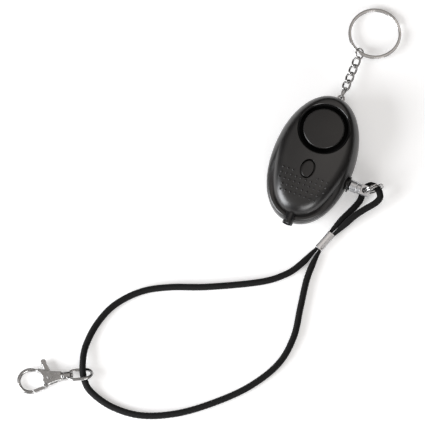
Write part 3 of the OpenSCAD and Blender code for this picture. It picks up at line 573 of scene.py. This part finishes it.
# %% Siren disc
SIREN_TOP, SIREN_FLOOR = 20.046 * MM, 14.946 * MM
DISC_R, DISC_T, POST_R = 10.85 * MM, 1.6 * MM, 4.5 * MM
DISC_ROUND = 0.7 * MM


def turned(outline, matrix, rounding, steps=96):
    """Solid of revolution about Z from (radius, height) points. Inner corners get the rounding."""
    bm = bmesh.new()
    line = [bm.verts.new((r, 0, z)) for r, z in outline]
    for a, b in zip(line, line[1:]):
        bm.edges.new((a, b))
    bmesh.ops.bevel(bm, geom=line[1:-1], affect="VERTICES", offset=rounding, segments=4, profile=0.5,
                    material=-1)
    bmesh.ops.spin(bm, geom=bm.verts[:] + bm.edges[:], cent=(0, 0, 0), axis=(0, 0, 1), angle=math.tau,
                   steps=steps, use_merge=True)
    bmesh.ops.transform(bm, matrix=matrix, verts=bm.verts)
    return bm


outline = [(0, SIREN_TOP), (DISC_R, SIREN_TOP), (DISC_R, SIREN_TOP - DISC_T), (POST_R, SIREN_TOP - DISC_T),
           (POST_R, SIREN_FLOOR + DISC_ROUND), (0, SIREN_FLOOR + DISC_ROUND)]
disc = turned(outline, Matrix.Translation((0, SIREN_Y, 0)), DISC_ROUND)
add_piece("siren_disc", disc, "case", "siren_cap", sharp=50)

# %% [markdown]
# ## Lamp button
# The button is an oval plug with a flange under the shell and a plunger that reaches the switch.
# An oval face is extruded upwards, and a bevel rounds its upper edge. Last, the top face is inset
# and raised a hair, because a moulded button is never quite flat.

# %% Lamp button
BUTTON_TOP, BUTTON_FLANGE_TOP = 20.278 * MM, 17.419 * MM
FLANGE_T, FLANGE_GROW, PLUNGER_R = 0.8 * MM, 1.55 * MM, 1.2 * MM
BUTTON_ROOT, BUTTON_ROUND, BUTTON_INSET = 0.2 * MM, 0.4 * MM, 0.6 * MM
BUTTON_SWELL, SWELL_STEP = 0.06 * MM, 0.025 * MM


def oval_plug(bm, w, l, low, high, sides=72):
    """Oval block on the button's axis. Returns its top face."""
    place = Matrix.Translation((0, BUTTON_Y, low)) @ Matrix.Diagonal((w, l, 1, 1))
    base = bmesh.ops.create_circle(bm, cap_ends=True, segments=sides, radius=1.0, matrix=place)["verts"]
    faces = list({f for v in base for f in v.link_faces})
    made = bmesh.ops.extrude_face_region(bm, geom=faces, use_keep_orig=True)["geom"]
    raised = [g for g in made if isinstance(g, bmesh.types.BMVert)]
    bmesh.ops.translate(bm, vec=(0, 0, high - low), verts=raised)
    return next(g for g in made if isinstance(g, bmesh.types.BMFace))


def lamp_button():
    bm = bmesh.new()
    top = oval_plug(bm, BUTTON_W / 2, BUTTON_L / 2, BUTTON_FLANGE_TOP - BUTTON_ROOT,
                    BUTTON_TOP - BUTTON_SWELL)
    edge = bmesh.ops.bevel(bm, geom=top.edges[:], affect="EDGES", offset=BUTTON_ROUND, segments=4,
                           profile=0.5, material=-1)
    top = max((f for f in bm.faces if f.normal.z > 0.9), key=lambda f: f.calc_area())
    for _ in range(2):
        bmesh.ops.inset_region(bm, faces=[top], thickness=BUTTON_INSET, use_even_offset=True)
        bmesh.ops.translate(bm, vec=(0, 0, SWELL_STEP), verts=top.verts)
    oval_plug(bm, BUTTON_W / 2 + FLANGE_GROW, BUTTON_L / 2 + FLANGE_GROW, BUTTON_FLANGE_TOP - FLANGE_T,
              BUTTON_FLANGE_TOP)
    oval_plug(bm, PLUNGER_R, PLUNGER_R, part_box("light_button")[0].z, BUTTON_FLANGE_TOP - FLANGE_T / 2, 32)
    print("rounded button edge:", len(edge["faces"]), "faces")
    add_piece("lamp_button", bm, "button", "light_button", sharp=40)


lamp_button()

# %% [markdown]
# ## Lamp nub
# A stubby collar holds the lamp and sticks out of the narrow end. Six notches give its front the
# look of a small gear. It is a tube: one loop runs along the outside, turns in at the front and
# comes back along the bore. Only the front rings are notched, so the back fits the shell's hole.

# %% Lamp nub
NUB_R, NUB_BORE_R, NUB_BACK, NUB_FRONT = 2.8 * MM, 2.2 * MM, 30.5 * MM, 38.1 * MM
NUB_SIDES, NUB_ROUND, NUB_BORE_SINK = 96, 0.15 * MM, 0.05 * MM
NUB_NOTCHES, NOTCH_DIP, NOTCH_L, NOTCH_FULLNESS = 6, 0.4 * MM, 1.7 * MM, 0.7
BEFORE_NOTCH, NOTCH_RUNOUT = 0.3 * MM, 0.25 * MM


def nub_ring(r, along, notched):
    ring = []
    for a in circle_angles(NUB_SIDES):
        notch = max(0.0, math.cos(NUB_NOTCHES * a)) ** NOTCH_FULLNESS
        q = r - NOTCH_DIP * notched * notch
        ring.append((q * math.cos(a), -along, LAMP_Z + q * math.sin(a)))
    return ring


def lamp_nub():
    front = NUB_FRONT - NOTCH_L
    rings = [nub_ring(NUB_R, along, 0) for along in (NUB_BACK, front - BEFORE_NOTCH, front)]
    rings.append(nub_ring(NUB_R, front + NOTCH_RUNOUT, 1))
    for turn in (0, 30, 60, 90):
        a = math.radians(turn)
        drawn_in, back = NUB_ROUND * (1 - math.cos(a)), NUB_ROUND * (1 - math.sin(a))
        rings.append(nub_ring(NUB_R - drawn_in, NUB_FRONT - back, 1))
    rings += [nub_ring(NUB_BORE_R, NUB_FRONT - NUB_BORE_SINK, 0), nub_ring(NUB_BORE_R, NUB_BACK, 0)]
    bm = start_bench()
    stack(bm, rings, closed=True)
    add_piece("lamp_nub", bm, "case", "led_bezel", sharp=40)


lamp_nub()

# %% [markdown]
# ## Split rings
# A split ring is a flat band wound twice. The section is a soft box, and three spins carry it: once
# nearly round, a short climb of 40 degrees where it also rises by one band, and nearly round again.

# %% Split rings
RING_GAP, RING_CLIMB, RING_TURN, RING_STEP = 0.42 * MM, 40.0, 330.0, 4.0


def split_ring(name, node, body, outer_d, w, t, matrix):
    bm = start_bench()
    r, rise = (outer_d - w) / 2, t + RING_GAP
    section = soft_box(w, t)
    count = len(section)
    loop = bmesh.ops.create_circle(bm, segments=count, radius=1.0)["verts"]
    for v in loop:
        x, z = section[round(math.atan2(v.co.y, v.co.x) / math.tau * count) % count]
        v.co = (r + x, 0, z - rise / 2)
    last = loop + list({e for v in loop for e in v.link_edges})
    bmesh.ops.edgeloop_fill(bm, edges=[g for g in last if isinstance(g, bmesh.types.BMEdge)])
    for turn, lift in ((RING_TURN, 0.0), (RING_CLIMB, rise), (RING_TURN, 0.0)):
        steps = round(turn / RING_STEP)
        last = bmesh.ops.spin(bm, geom=last, cent=(0, 0, 0), axis=(0, 0, 1), dvec=(0, 0, lift / steps),
                              angle=math.radians(turn), steps=steps)["geom_last"]
        last = [g for g in last if not isinstance(g, bmesh.types.BMFace)]
    bmesh.ops.edgeloop_fill(bm, edges=[g for g in last if isinstance(g, bmesh.types.BMEdge)])
    bmesh.ops.transform(bm, matrix=matrix, verts=bm.verts)
    return add_piece(name, bm, body, node, sharp=60)


print(f"a split ring is wound {(2 * RING_TURN + RING_CLIMB) / 360:.2f} times")

# %% [markdown]
# ## Chain and key ring
# The chain hangs from a staple in the siren end and drops to the table. Each curb link is an oval
# of wire that twists by a quarter turn from end to end, so that all links lie flat together; the
# first one, in the staple, twists half as far. The wire's section is carried once round and joined
# to itself.

# %% Chain and key ring
CHAIN_DROP = -5.2
CHAIN = Matrix.Translation(Vector((1.2, 38.9, 5.6)) * MM) @ turn_by(CHAIN_DROP, "X")
LINK_WIRE, LINK_W, LINK_PITCH, LINK_GAP = 1.2 * MM, 3.5 * MM, 4.7 * MM, 0.15 * MM
STAPLE_WIRE, JUMP_WIRE, JUMP_D = 1.1 * MM, 1.1 * MM, 6.7 * MM
LINK_L = LINK_PITCH + LINK_WIRE + LINK_GAP
FIRST_LINK = LINK_L / 2 - (STAPLE_WIRE + LINK_WIRE) / 2 - LINK_GAP
JUMP_MID = FIRST_LINK + 4 * LINK_PITCH + LINK_L / 2 - (LINK_WIRE + JUMP_WIRE) / 2 - LINK_GAP + JUMP_D / 2
KEY_D, KEY_BAND_W, KEY_BAND_T = 28 * MM, 1.5 * MM, 0.8 * MM
KEY_PLAY, KEY_SWING, KEY_LEAN, KEY_SPLIT = 0.7 * MM, -15, 1, 60
WIRE_STEPS, WIRE_SIDES, LINK_ROUND = 64, 16, 0.85


def chain_link(k):
    near, far = (90, 45) if k == 0 else (-45, 45)
    line, guides = [], []
    for a in circle_angles(WIRE_STEPS):
        v = LINK_W / 2 * signed_pow(math.cos(a), LINK_ROUND)
        u = LINK_L / 2 * signed_pow(math.sin(a), LINK_ROUND)
        t = math.radians(near + (far - near) * (u / LINK_L + 0.5))
        line.append((v * math.cos(t), u, v * math.sin(t)))
        guides.append((-math.sin(t), 0, math.cos(t)))
    wire = [(LINK_WIRE / 2 * math.cos(a), LINK_WIRE / 2 * math.sin(a)) for a in circle_angles(WIRE_SIDES)]
    bm = start_bench()
    stack(bm, carry(line, guides, [wire] * WIRE_STEPS, closed=True), closed=True)
    place = CHAIN @ Matrix.Translation((0, FIRST_LINK + k * LINK_PITCH, 0))
    bmesh.ops.transform(bm, matrix=place, verts=bm.verts)
    add_piece(f"curb_link_{k + 1}", bm, f"link_{k + 1}", f"chain_link_{k + 1}", sharp=80)


for k in range(5):
    chain_link(k)
key_place = (CHAIN @ Matrix.Translation((0, JUMP_MID + KEY_PLAY, 0)) @ turn_by(KEY_SWING, "Z")
             @ turn_by(KEY_LEAN, "X") @ Matrix.Translation((0, (KEY_D - KEY_BAND_W) / 2, 0))
             @ turn_by(KEY_SPLIT, "Z"))
split_ring("split_key_ring", "key_ring", "key_ring", KEY_D, KEY_BAND_W, KEY_BAND_T, key_place)

# %% [markdown]
# ## Jump ring and small ring
# A round jump ring of plain wire joins chain and key ring. It is a circle of wire, spun almost all
# the way and closed with two flat ends. The small split ring stands in the pin's eye.

# %% Jump ring and small ring
JUMP_SLIT, JUMP_ROLL, JUMP_STEPS = 5.0, 50.0, 72


def jump_ring():
    bm = bmesh.new()
    upright = Matrix.Translation(((JUMP_D - JUMP_WIRE) / 2, 0, 0)) @ turn_by(90, "X")
    loop = bmesh.ops.create_circle(bm, segments=WIRE_SIDES, radius=JUMP_WIRE / 2, matrix=upright)["verts"]
    edges = list({e for v in loop for e in v.link_edges})
    bmesh.ops.edgeloop_fill(bm, edges=edges)
    last = bmesh.ops.spin(bm, geom=loop + edges, cent=(0, 0, 0), axis=(0, 0, 1),
                          angle=math.radians(360 - JUMP_SLIT), steps=JUMP_STEPS)["geom_last"]
    bmesh.ops.edgeloop_fill(bm, edges=[g for g in last if isinstance(g, bmesh.types.BMEdge)])
    place = (CHAIN @ Matrix.Translation((0, JUMP_MID, 0)) @ turn_by(JUMP_ROLL, "Y")
             @ turn_by(JUMP_SLIT / 2, "Z"))
    bmesh.ops.transform(bm, matrix=place, verts=bm.verts)
    add_piece("jump_ring", bm, "connector", "connector_ring", sharp=60)


jump_ring()
PIN_EYE = Vector((31.6, -6, 9.5)) * MM
PIN_RING_D, PIN_BAND_W, PIN_BAND_T = 11 * MM, 0.9 * MM, 0.7 * MM
PIN_RING_TURN, PIN_RING_DROOP = 40, 20
pin_ring_place = (Matrix.Translation(PIN_EYE) @ turn_by(PIN_RING_TURN, "Z") @ turn_by(PIN_RING_DROOP, "Y")
                  @ Matrix.Translation(((PIN_RING_D - PIN_BAND_W) / 2, 0, 0))
                  @ TOWARDS_LAMP @ turn_by(90, "Z"))
split_ring("small_split_ring", "pin_ring", "strap", PIN_RING_D, PIN_BAND_W, PIN_BAND_T, pin_ring_place)

# %% [markdown]
# ## Cord crimp
# The crimp is a short drawn sleeve, pressed flat round both cords. The press leaves one lengthwise
# dent on the face and a row of teeth on the flank. One loop runs along the sleeve; it shrinks
# a little at both lips, turns into the mouth at each end, and dips where a tooth was pressed.

# %% Cord crimp
CRIMP_L, CRIMP_W, CRIMP_H = 11 * MM, 4.8 * MM, 3.6 * MM
CRIMP_LIP, LIP_SHRINK, CRIMP_TEETH, TOOTH_DIP = 0.5 * MM, 0.05, 11, 0.09
TEETH_FROM, TEETH_FADE, FLANK_FROM, FLANK_FADE = 0.7 * MM, 0.5 * MM, 0.7, 0.25
MOUTH_LESS, MOUTH_DEPTH = 1.0 * MM, 1.2 * MM
DENT_X, DENT_W, DENT_DEPTH = 0.24 * CRIMP_W, 0.5 * MM, 0.3 * MM
CRIMP_SIDES, CRIMP_STEPS = 64, 88
CRIMP_MIDDLE, CRIMP_TURN = Vector((21.4, -37.6, 2.1)) * MM, -19.2
crimp_place = Matrix.Translation(CRIMP_MIDDLE) @ turn_by(CRIMP_TURN, "Z") @ TOWARDS_LAMP


def crimp_ring(u):
    """Section of the sleeve at u, from 0 at one end to 1 at the other."""
    to_end = min(u, 1 - u) * CRIMP_L
    lip = 1 - LIP_SHRINK + LIP_SHRINK * math.sqrt(max(0.0, 1 - (1 - min(1, to_end / CRIMP_LIP)) ** 2))
    pressed = min(1, max(0, (to_end - TEETH_FROM) / TEETH_FADE))
    tooth = TOOTH_DIP * pressed * (0.5 - 0.5 * math.cos(math.tau * CRIMP_TEETH * u))
    ring = []
    for x, y in soft_box(CRIMP_W * lip, CRIMP_H * lip, CRIMP_SIDES, 0.5):
        flank = min(1, max(0.0, abs(x) / (CRIMP_W / 2) - FLANK_FROM) / FLANK_FADE)
        dent = DENT_DEPTH * pressed * math.exp(-((x - DENT_X) / DENT_W) ** 2) if y > 0 else 0.0
        ring.append((x * (1 - tooth * flank), y - dent, CRIMP_L * (u - 0.5)))
    return ring


def cord_crimp():
    mouth = soft_box(CRIMP_W - MOUTH_LESS, CRIMP_H - MOUTH_LESS, CRIMP_SIDES, 0.6)
    ends = [[(x, y, z) for x, y in mouth] for z in (CRIMP_L / 2, CRIMP_L / 2 - MOUTH_DEPTH)]
    tails = [[(x, y, -z) for x, y, z in ring] for ring in ends]
    bm = start_bench()
    stack(bm, [tails[1], tails[0]] + [crimp_ring(i / CRIMP_STEPS) for i in range(CRIMP_STEPS + 1)] + ends)
    bmesh.ops.transform(bm, matrix=crimp_place, verts=bm.verts)
    add_piece("cord_crimp", bm, "strap", "cord_ferrule", sharp=50)


cord_crimp()

# %% [markdown]
# ## Cast and turned metal
# The trigger snap is cast, so no edge on it is sharp, and each edge carries a thin highlight. A
# copy of the CAD mesh is merged, remeshed in small cubes and smoothed, which rounds every edge
# alike, also where curved and flat forms meet and a bevel would fail. The pin, its bush and the
# staple are rounded in the same way, with less smoothing.


# %% Rounded copies
def rounded_copy(name, node, body, cube, rounds):
    bm = bmesh.new()
    bm.from_mesh(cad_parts[node].data)
    bmesh.ops.remove_doubles(bm, verts=bm.verts, dist=1e-6)
    piece = add_piece(name, bm, body, node, sharp=180)
    remesh = piece.modifiers.new("small cubes", "REMESH")
    remesh.mode, remesh.voxel_size, remesh.use_smooth_shade = "VOXEL", cube, True
    smooth = piece.modifiers.new("worn edges", "SMOOTH")
    smooth.factor, smooth.iterations = 0.5, rounds
    shade(applied(piece), 180)
    print(f"{name}: {len(piece.data.polygons)} faces after rounding")


ROUNDED = [
    ("snap_hook", "hook_body", "clasp_hook", "chrome", 0.14, 8),
    ("snap_trigger", "trigger_lever", "trigger", "chrome", 0.11, 7),
    ("snap_rivet", "trigger_rivet", "clasp_hook", "chrome", 0.09, 5),
    ("snap_eye", "swivel_eye", "clasp_eye", "chrome", 0.11, 6),
    ("pull_pin_turned", "pull_pin", "pin", "chrome", 0.11, 4),
    ("pin_bush", "pin_socket", "case", "black_plastic", 0.1, 4),
    ("chain_staple", "chain_anchor", "case", "chrome", 0.09, 4)]
for name, node, body, slot, cube, rounds in ROUNDED:
    rounded_copy(name, node, body, cube * MM, rounds)

# %% [markdown]
# ## Cord lengths
# The lengths of both cords are printed.

print("cords declared:", round(short_length / MM, 1), "and", round(wrist_length / MM, 1), "mm")

# %% [markdown]
# ## Surface grain, as a node group
# No real surface is one flat colour. Slow patches change tint and roughness, and a fine grain
# breaks up the light. Every finish here needs that, so it is one group with its own inputs, placed
# in each material. It reads Object coordinates, so the grain stays on a piece when it moves.

# %% Surface grain group
NOISE_LOW, NOISE_HIGH = 0.3, 0.7


def group_socket(group, name, kind, value=None, out=False):
    socket = group.interface.new_socket(name=name, in_out="OUTPUT" if out else "INPUT", socket_type=kind)
    if value is not None:
        socket.default_value = value


def set_sockets(node, values):
    for socket, value in values.items():
        node.inputs[socket].default_value = value


def make_surface_grain():
    group = bpy.data.node_groups.new("surface_grain", "ShaderNodeTree")
    group_socket(group, "Color", "NodeSocketColor", (0.5, 0.5, 0.5, 1))
    for name, value in (("Tint", 0.08), ("Rough Low", 0.3), ("Rough High", 0.4), ("Patch Scale", 200.0),
                        ("Grain Scale", 2500.0), ("Grain Depth", 0.01 * MM)):
        group_socket(group, name, "NodeSocketFloat", value)
    group_socket(group, "Color", "NodeSocketColor", out=True)
    group_socket(group, "Roughness", "NodeSocketFloat", out=True)
    group_socket(group, "Normal", "NodeSocketVector", out=True)
    nodes, links = group.nodes, group.links
    given, result = nodes.new("NodeGroupInput"), nodes.new("NodeGroupOutput")
    coords = nodes.new("ShaderNodeTexCoord")
    patch, fine = nodes.new("ShaderNodeTexNoise"), nodes.new("ShaderNodeTexNoise")
    for noise, scale, detail in ((patch, "Patch Scale", 4.0), (fine, "Grain Scale", 2.0)):
        set_sockets(noise, {"Detail": detail})
        links.new(coords.outputs["Object"], noise.inputs["Vector"])
        links.new(given.outputs[scale], noise.inputs["Scale"])
    shift = nodes.new("ShaderNodeMapRange")
    set_sockets(shift, {"From Min": NOISE_LOW, "From Max": NOISE_HIGH, "To Min": -1.0, "To Max": 1.0})
    links.new(patch.outputs["Fac"], shift.inputs["Value"])
    shade_of = nodes.new("ShaderNodeMath")
    shade_of.operation = "MULTIPLY_ADD"
    shade_of.inputs[2].default_value = 1.0
    links.new(shift.outputs["Result"], shade_of.inputs[0])
    links.new(given.outputs["Tint"], shade_of.inputs[1])
    tinted = nodes.new("ShaderNodeVectorMath")
    tinted.operation = "SCALE"
    links.new(given.outputs["Color"], tinted.inputs["Vector"])
    links.new(shade_of.outputs["Value"], tinted.inputs["Scale"])
    links.new(tinted.outputs["Vector"], result.inputs["Color"])
    rough = nodes.new("ShaderNodeMapRange")
    set_sockets(rough, {"From Min": NOISE_LOW, "From Max": NOISE_HIGH})
    links.new(patch.outputs["Fac"], rough.inputs["Value"])
    links.new(given.outputs["Rough Low"], rough.inputs["To Min"])
    links.new(given.outputs["Rough High"], rough.inputs["To Max"])
    links.new(rough.outputs["Result"], result.inputs["Roughness"])
    bump = nodes.new("ShaderNodeBump")
    links.new(fine.outputs["Fac"], bump.inputs["Height"])
    links.new(given.outputs["Grain Depth"], bump.inputs["Distance"])
    links.new(bump.outputs["Normal"], result.inputs["Normal"])
    return group


surface_grain = make_surface_grain()
print("surface_grain:", [s.name for s in surface_grain.interface.items_tree])

# %% [markdown]
# ## Finishes
# `finish` makes one material: the grain group feeds colour, roughness and normal of a Principled
# shader, and what is the same all over, such as Metallic, is set on the shader itself. The case is
# spark-eroded black plastic, the disc and button are a little duller, and the cup is nearly black.
# Chain and rings are bright plated steel, and the cast snap is a duller, slightly wavy nickel.


# %% Plastic and metal finishes
def finish(name, color, rough, metal=0.0, gloss=0.5, spread=0.04, tint=0.08, patch=200.0, grain=2500.0,
           depth=0.006):
    material = bpy.data.materials.new(name)
    material.use_nodes = True
    nodes, links = material.node_tree.nodes, material.node_tree.links
    shader = nodes["Principled BSDF"]
    set_sockets(shader, {"Metallic": metal, "Specular IOR Level": gloss})
    surface = nodes.new("ShaderNodeGroup")
    surface.node_tree, surface.name = surface_grain, "surface"
    set_sockets(surface, {"Color": (*color, 1), "Tint": tint, "Rough Low": max(0.02, rough - spread),
                          "Rough High": rough + spread, "Patch Scale": patch, "Grain Scale": grain,
                          "Grain Depth": depth * MM})
    links.new(surface.outputs["Color"], shader.inputs["Base Color"])
    links.new(surface.outputs["Roughness"], shader.inputs["Roughness"])
    links.new(surface.outputs["Normal"], shader.inputs["Normal"])
    return material


shell_black = finish("shell_black", (0.0085, 0.0078, 0.0075), 0.31, gloss=0.72, spread=0.02,
                     grain=3200, depth=0.012, patch=220)
disc_black = finish("disc_black", (0.009, 0.008, 0.0076), 0.34, spread=0.02,
                    grain=3600, depth=0.014, patch=260)
nub_black = finish("nub_black", (0.008, 0.008, 0.0085), 0.3, grain=1800)
cup_black = finish("cup_black", (0.0008, 0.0008, 0.0009), 0.7, gloss=0.15, grain=1800)
chrome = finish("chrome", (0.5, 0.493, 0.488), 0.13, metal=1.0, spread=0.04, tint=0.04,
                patch=420, grain=1500, depth=0.002)
snap_nickel = finish("snap_nickel", (0.47, 0.465, 0.46), 0.24, metal=1.0, spread=0.06, tint=0.1,
                     patch=500, grain=900, depth=0.02)
pin_chrome = finish("pin_chrome", (0.66, 0.665, 0.68), 0.34, metal=1.0, spread=0.05, tint=0.04,
                    patch=420, grain=2600, depth=0.004)
crimp_metal = finish("crimp_metal", (0.72, 0.72, 0.73), 0.26, metal=1.0, spread=0.06, tint=0.05,
                     patch=500, grain=2600, depth=0.004)
board_green = finish("board_green", (0.03, 0.2, 0.08), 0.35, tint=0.15)
coil_brown = finish("coil_brown", (0.2, 0.09, 0.04), 0.6, tint=0.2)
bright_brass = finish("bright_brass", (0.75, 0.56, 0.24), 0.25, metal=1.0)
plain_steel = finish("plain_steel", (0.6, 0.6, 0.61), 0.28, metal=1.0)
soft_rubber = finish("soft_rubber", (0.02, 0.02, 0.02), 0.75, depth=0.02)
print("finishes:", len(bpy.data.materials))

# %% [markdown]
# ## Cord and lens finishes
# The cord is black polyester with a faint sheen. Its yarn attribute is 0 in the gaps and 1 on a
# yarn's back, and it paints shade into the gaps. The lamp's lens is smoked plastic that lets light through.

# %% Cord and lens
cord_black = finish("cord_black", (0.008, 0.0078, 0.0078), 0.75, gloss=0.2, spread=0.06, tint=0.3,
                    patch=900, grain=5200, depth=0.03)


# Painted shade: the base colour is darkened in the gaps between the yarns, where shade falls.
def paint_yarn_gap_shade(material, floor):
    nodes, links = material.node_tree.nodes, material.node_tree.links
    yarn = nodes.new("ShaderNodeAttribute")
    yarn.attribute_name = "yarn"
    share = nodes.new("ShaderNodeMapRange")
    set_sockets(share, {"To Min": floor})
    links.new(yarn.outputs["Fac"], share.inputs["Value"])
    darker = nodes.new("ShaderNodeVectorMath")
    darker.operation = "SCALE"
    links.new(nodes["surface"].outputs["Color"], darker.inputs["Vector"])
    links.new(share.outputs["Result"], darker.inputs["Scale"])
    shader = nodes["Principled BSDF"]
    links.new(darker.outputs["Vector"], shader.inputs["Base Color"])
    set_sockets(shader, {"Sheen Weight": 0.05, "Sheen Roughness": 0.5})


# Painted shade in the cord's yarn gaps, down to a quarter of the colour.
paint_yarn_gap_shade(cord_black, 0.25)
smoked_lens = finish("smoked_lens", (0.05, 0.05, 0.052), 0.1, spread=0.03, tint=0.02)
set_sockets(smoked_lens.node_tree.nodes["Principled BSDF"], {"Coat Weight": 0.3})
print("cord and lens done")

# %% [markdown]
# ## Painting
# Every CAD node gets a finish, also those inside the case, because the part can be opened.
# The new pieces take the finish of the node that they stand for, and the grip dots that of the shell.

# %% Paint nodes and pieces
NODE_FINISH = {
    shell_black: ["front_shell", "rear_shell"],
    disc_black: ["siren_cap", "light_button"],
    nub_black: ["led_bezel", "pin_socket"],
    cup_black: ["siren_housing"],
    snap_nickel: ["swivel_eye", "hook_body", "trigger_lever", "trigger_rivet"],
    chrome: ["pin_ring", "chain_anchor", "connector_ring", "key_ring"]
            + [f"chain_link_{k}" for k in range(1, 6)],
    pin_chrome: ["pull_pin"],
    crimp_metal: ["cord_ferrule"],
    cord_black: ["pin_loop_cord", "wrist_loop_cord"],
    smoked_lens: ["led_lamp"],
    board_green: ["circuit_board"],
    coil_brown: ["booster_coil"],
    bright_brass: ["siren_sounder", "battery_contacts", "pin_contacts"],
    plain_steel: ["tact_switch", "battery_cells", "case_screws", "trigger_spring"],
    soft_rubber: ["sounder_seal"]}
PIECE_FINISH = {
    shell_black: ["front_skin", "rear_skin", "grip_dots"],
    disc_black: ["siren_disc", "lamp_button"],
    nub_black: ["lamp_nub", "pin_bush"],
    snap_nickel: ["snap_hook", "snap_trigger", "snap_rivet", "snap_eye"],
    chrome: ["chain_staple", "split_key_ring", "small_split_ring", "jump_ring"]
            + [f"curb_link_{k}" for k in range(1, 6)],
    pin_chrome: ["pull_pin_turned"],
    crimp_metal: ["cord_crimp"],
    cord_black: ["short_loop", "wrist_loop"]}


def paint(owners, table):
    for material, names in table.items():
        for name in names:
            owners[name].data.materials.clear()
            owners[name].data.materials.append(material)
    print("painted:", sum(len(names) for names in table.values()))


paint(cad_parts, NODE_FINISH)
paint(pieces, PIECE_FINISH)

# %% [markdown]
# ## Paper
# The alarm lies on white paper. The paper is lit by the lamps and keeps the shadow. What the
# camera, a mirror or glass sees of it also glows a little, so it comes out white without more light
# on the alarm.

# %% Paper
PAPER_SIZE, PAPER_Z = 3.0, -0.02 * MM
PAPER_GLOW, PAPER_COLOR = 0.32, (0.9, 0.895, 0.89, 1)


def make_paper():
    bm = bmesh.new()
    bmesh.ops.create_grid(bm, x_segments=1, y_segments=1, size=PAPER_SIZE)
    mesh = bpy.data.meshes.new("paper")
    bm.to_mesh(mesh)
    bm.free()
    paper = bpy.data.objects.new("paper", mesh)
    paper.location = (0, 0, PAPER_Z)
    bpy.context.collection.objects.link(paper)
    material = bpy.data.materials.new("paper_white")
    material.use_nodes = True
    nodes, links = material.node_tree.nodes, material.node_tree.links
    nodes.clear()
    white, glow = nodes.new("ShaderNodeBsdfDiffuse"), nodes.new("ShaderNodeEmission")
    set_sockets(white, {"Color": PAPER_COLOR})
    ray = nodes.new("ShaderNodeLightPath")
    seen = [ray.outputs[n] for n in ("Is Camera Ray", "Is Glossy Ray", "Is Transmission Ray")]
    for other in (1, 2):
        either = nodes.new("ShaderNodeMath")
        either.operation = "MAXIMUM"
        links.new(seen[0], either.inputs[0])
        links.new(seen[other], either.inputs[1])
        seen[0] = either.outputs["Value"]
    strength = nodes.new("ShaderNodeMath")
    strength.operation = "MULTIPLY"
    strength.inputs[1].default_value = PAPER_GLOW
    links.new(seen[0], strength.inputs[0])
    links.new(strength.outputs["Value"], glow.inputs["Strength"])
    both, out = nodes.new("ShaderNodeAddShader"), nodes.new("ShaderNodeOutputMaterial")
    links.new(white.outputs["BSDF"], both.inputs[0])
    links.new(glow.outputs["Emission"], both.inputs[1])
    links.new(both.outputs["Shader"], out.inputs["Surface"])
    paper.data.materials.append(material)
    print("paper:", 2 * PAPER_SIZE, "m wide")


make_paper()

# %% [markdown]
# ## Light
# A softbox stands low on the left: it makes the long highlight on the left shoulder and the shadow
# to the right. A second one, lower right, makes the other highlight at the lamp end, and a faint warm
# one hangs high above. The room is a soft pale dome that darkens towards the horizon, so chrome shows
# both light and dark.

# %% Softboxes and room
LAMP_AIM = Vector((0, -20, 5)) * MM


def softbox(name, right, up, height, size, power, color=(1, 1, 1)):
    """Area lamp that faces the alarm. Right and up are distances in the photograph."""
    data = bpy.data.lights.new(name, "AREA")
    data.shape = "RECTANGLE"
    data.size, data.size_y = size
    data.energy, data.color = power, color
    lamp = bpy.data.objects.new(name, data)
    bpy.context.collection.objects.link(lamp)
    lamp.location = LAMP_AIM + VIEW_RIGHT * right + VIEW_UP * up + Vector((0, 0, height))
    lamp.rotation_euler = (lamp.location - LAMP_AIM).to_track_quat("Z", "Y").to_euler()
    print(f"{name}: {power} W")


softbox("key", -1.15, -0.45, 0.48, (0.95, 0.8), 27.0, (0.95, 0.97, 1.0))
softbox("lower_right", 0.35, -1.05, 0.6, (0.65, 0.5), 6.5)
softbox("above", 0.4, 0.4, 1.3, (0.7, 0.8), 0.9, (1.0, 0.92, 0.86))

ROOM_COLOR = (1.0, 0.96, 0.93, 1)
HORIZON, ZENITH = 0.02, 0.5
DARK_BELOW, PALE_ABOVE = 0.45, 0.93


def make_room():
    world = bpy.data.worlds.new("studio")
    bpy.context.scene.world = world
    world.use_nodes = True
    nodes, links = world.node_tree.nodes, world.node_tree.links
    coords, split = nodes.new("ShaderNodeTexCoord"), nodes.new("ShaderNodeSeparateXYZ")
    links.new(coords.outputs["Generated"], split.inputs["Vector"])
    rise = nodes.new("ShaderNodeMapRange")
    rise.interpolation_type = "SMOOTHSTEP"
    set_sockets(rise, {"From Min": DARK_BELOW, "From Max": PALE_ABOVE, "To Min": HORIZON, "To Max": ZENITH})
    links.new(split.outputs["Z"], rise.inputs["Value"])
    links.new(rise.outputs["Result"], nodes["Background"].inputs["Strength"])
    set_sockets(nodes["Background"], {"Color": ROOM_COLOR})
    print("room:", HORIZON, "to", ZENITH)


make_room()
bpy.context.scene.view_settings.view_transform = "Standard"

# %% [markdown]
# ## Update
# The view layer is brought up to date.

# %% Finish
bpy.context.view_layer.update()
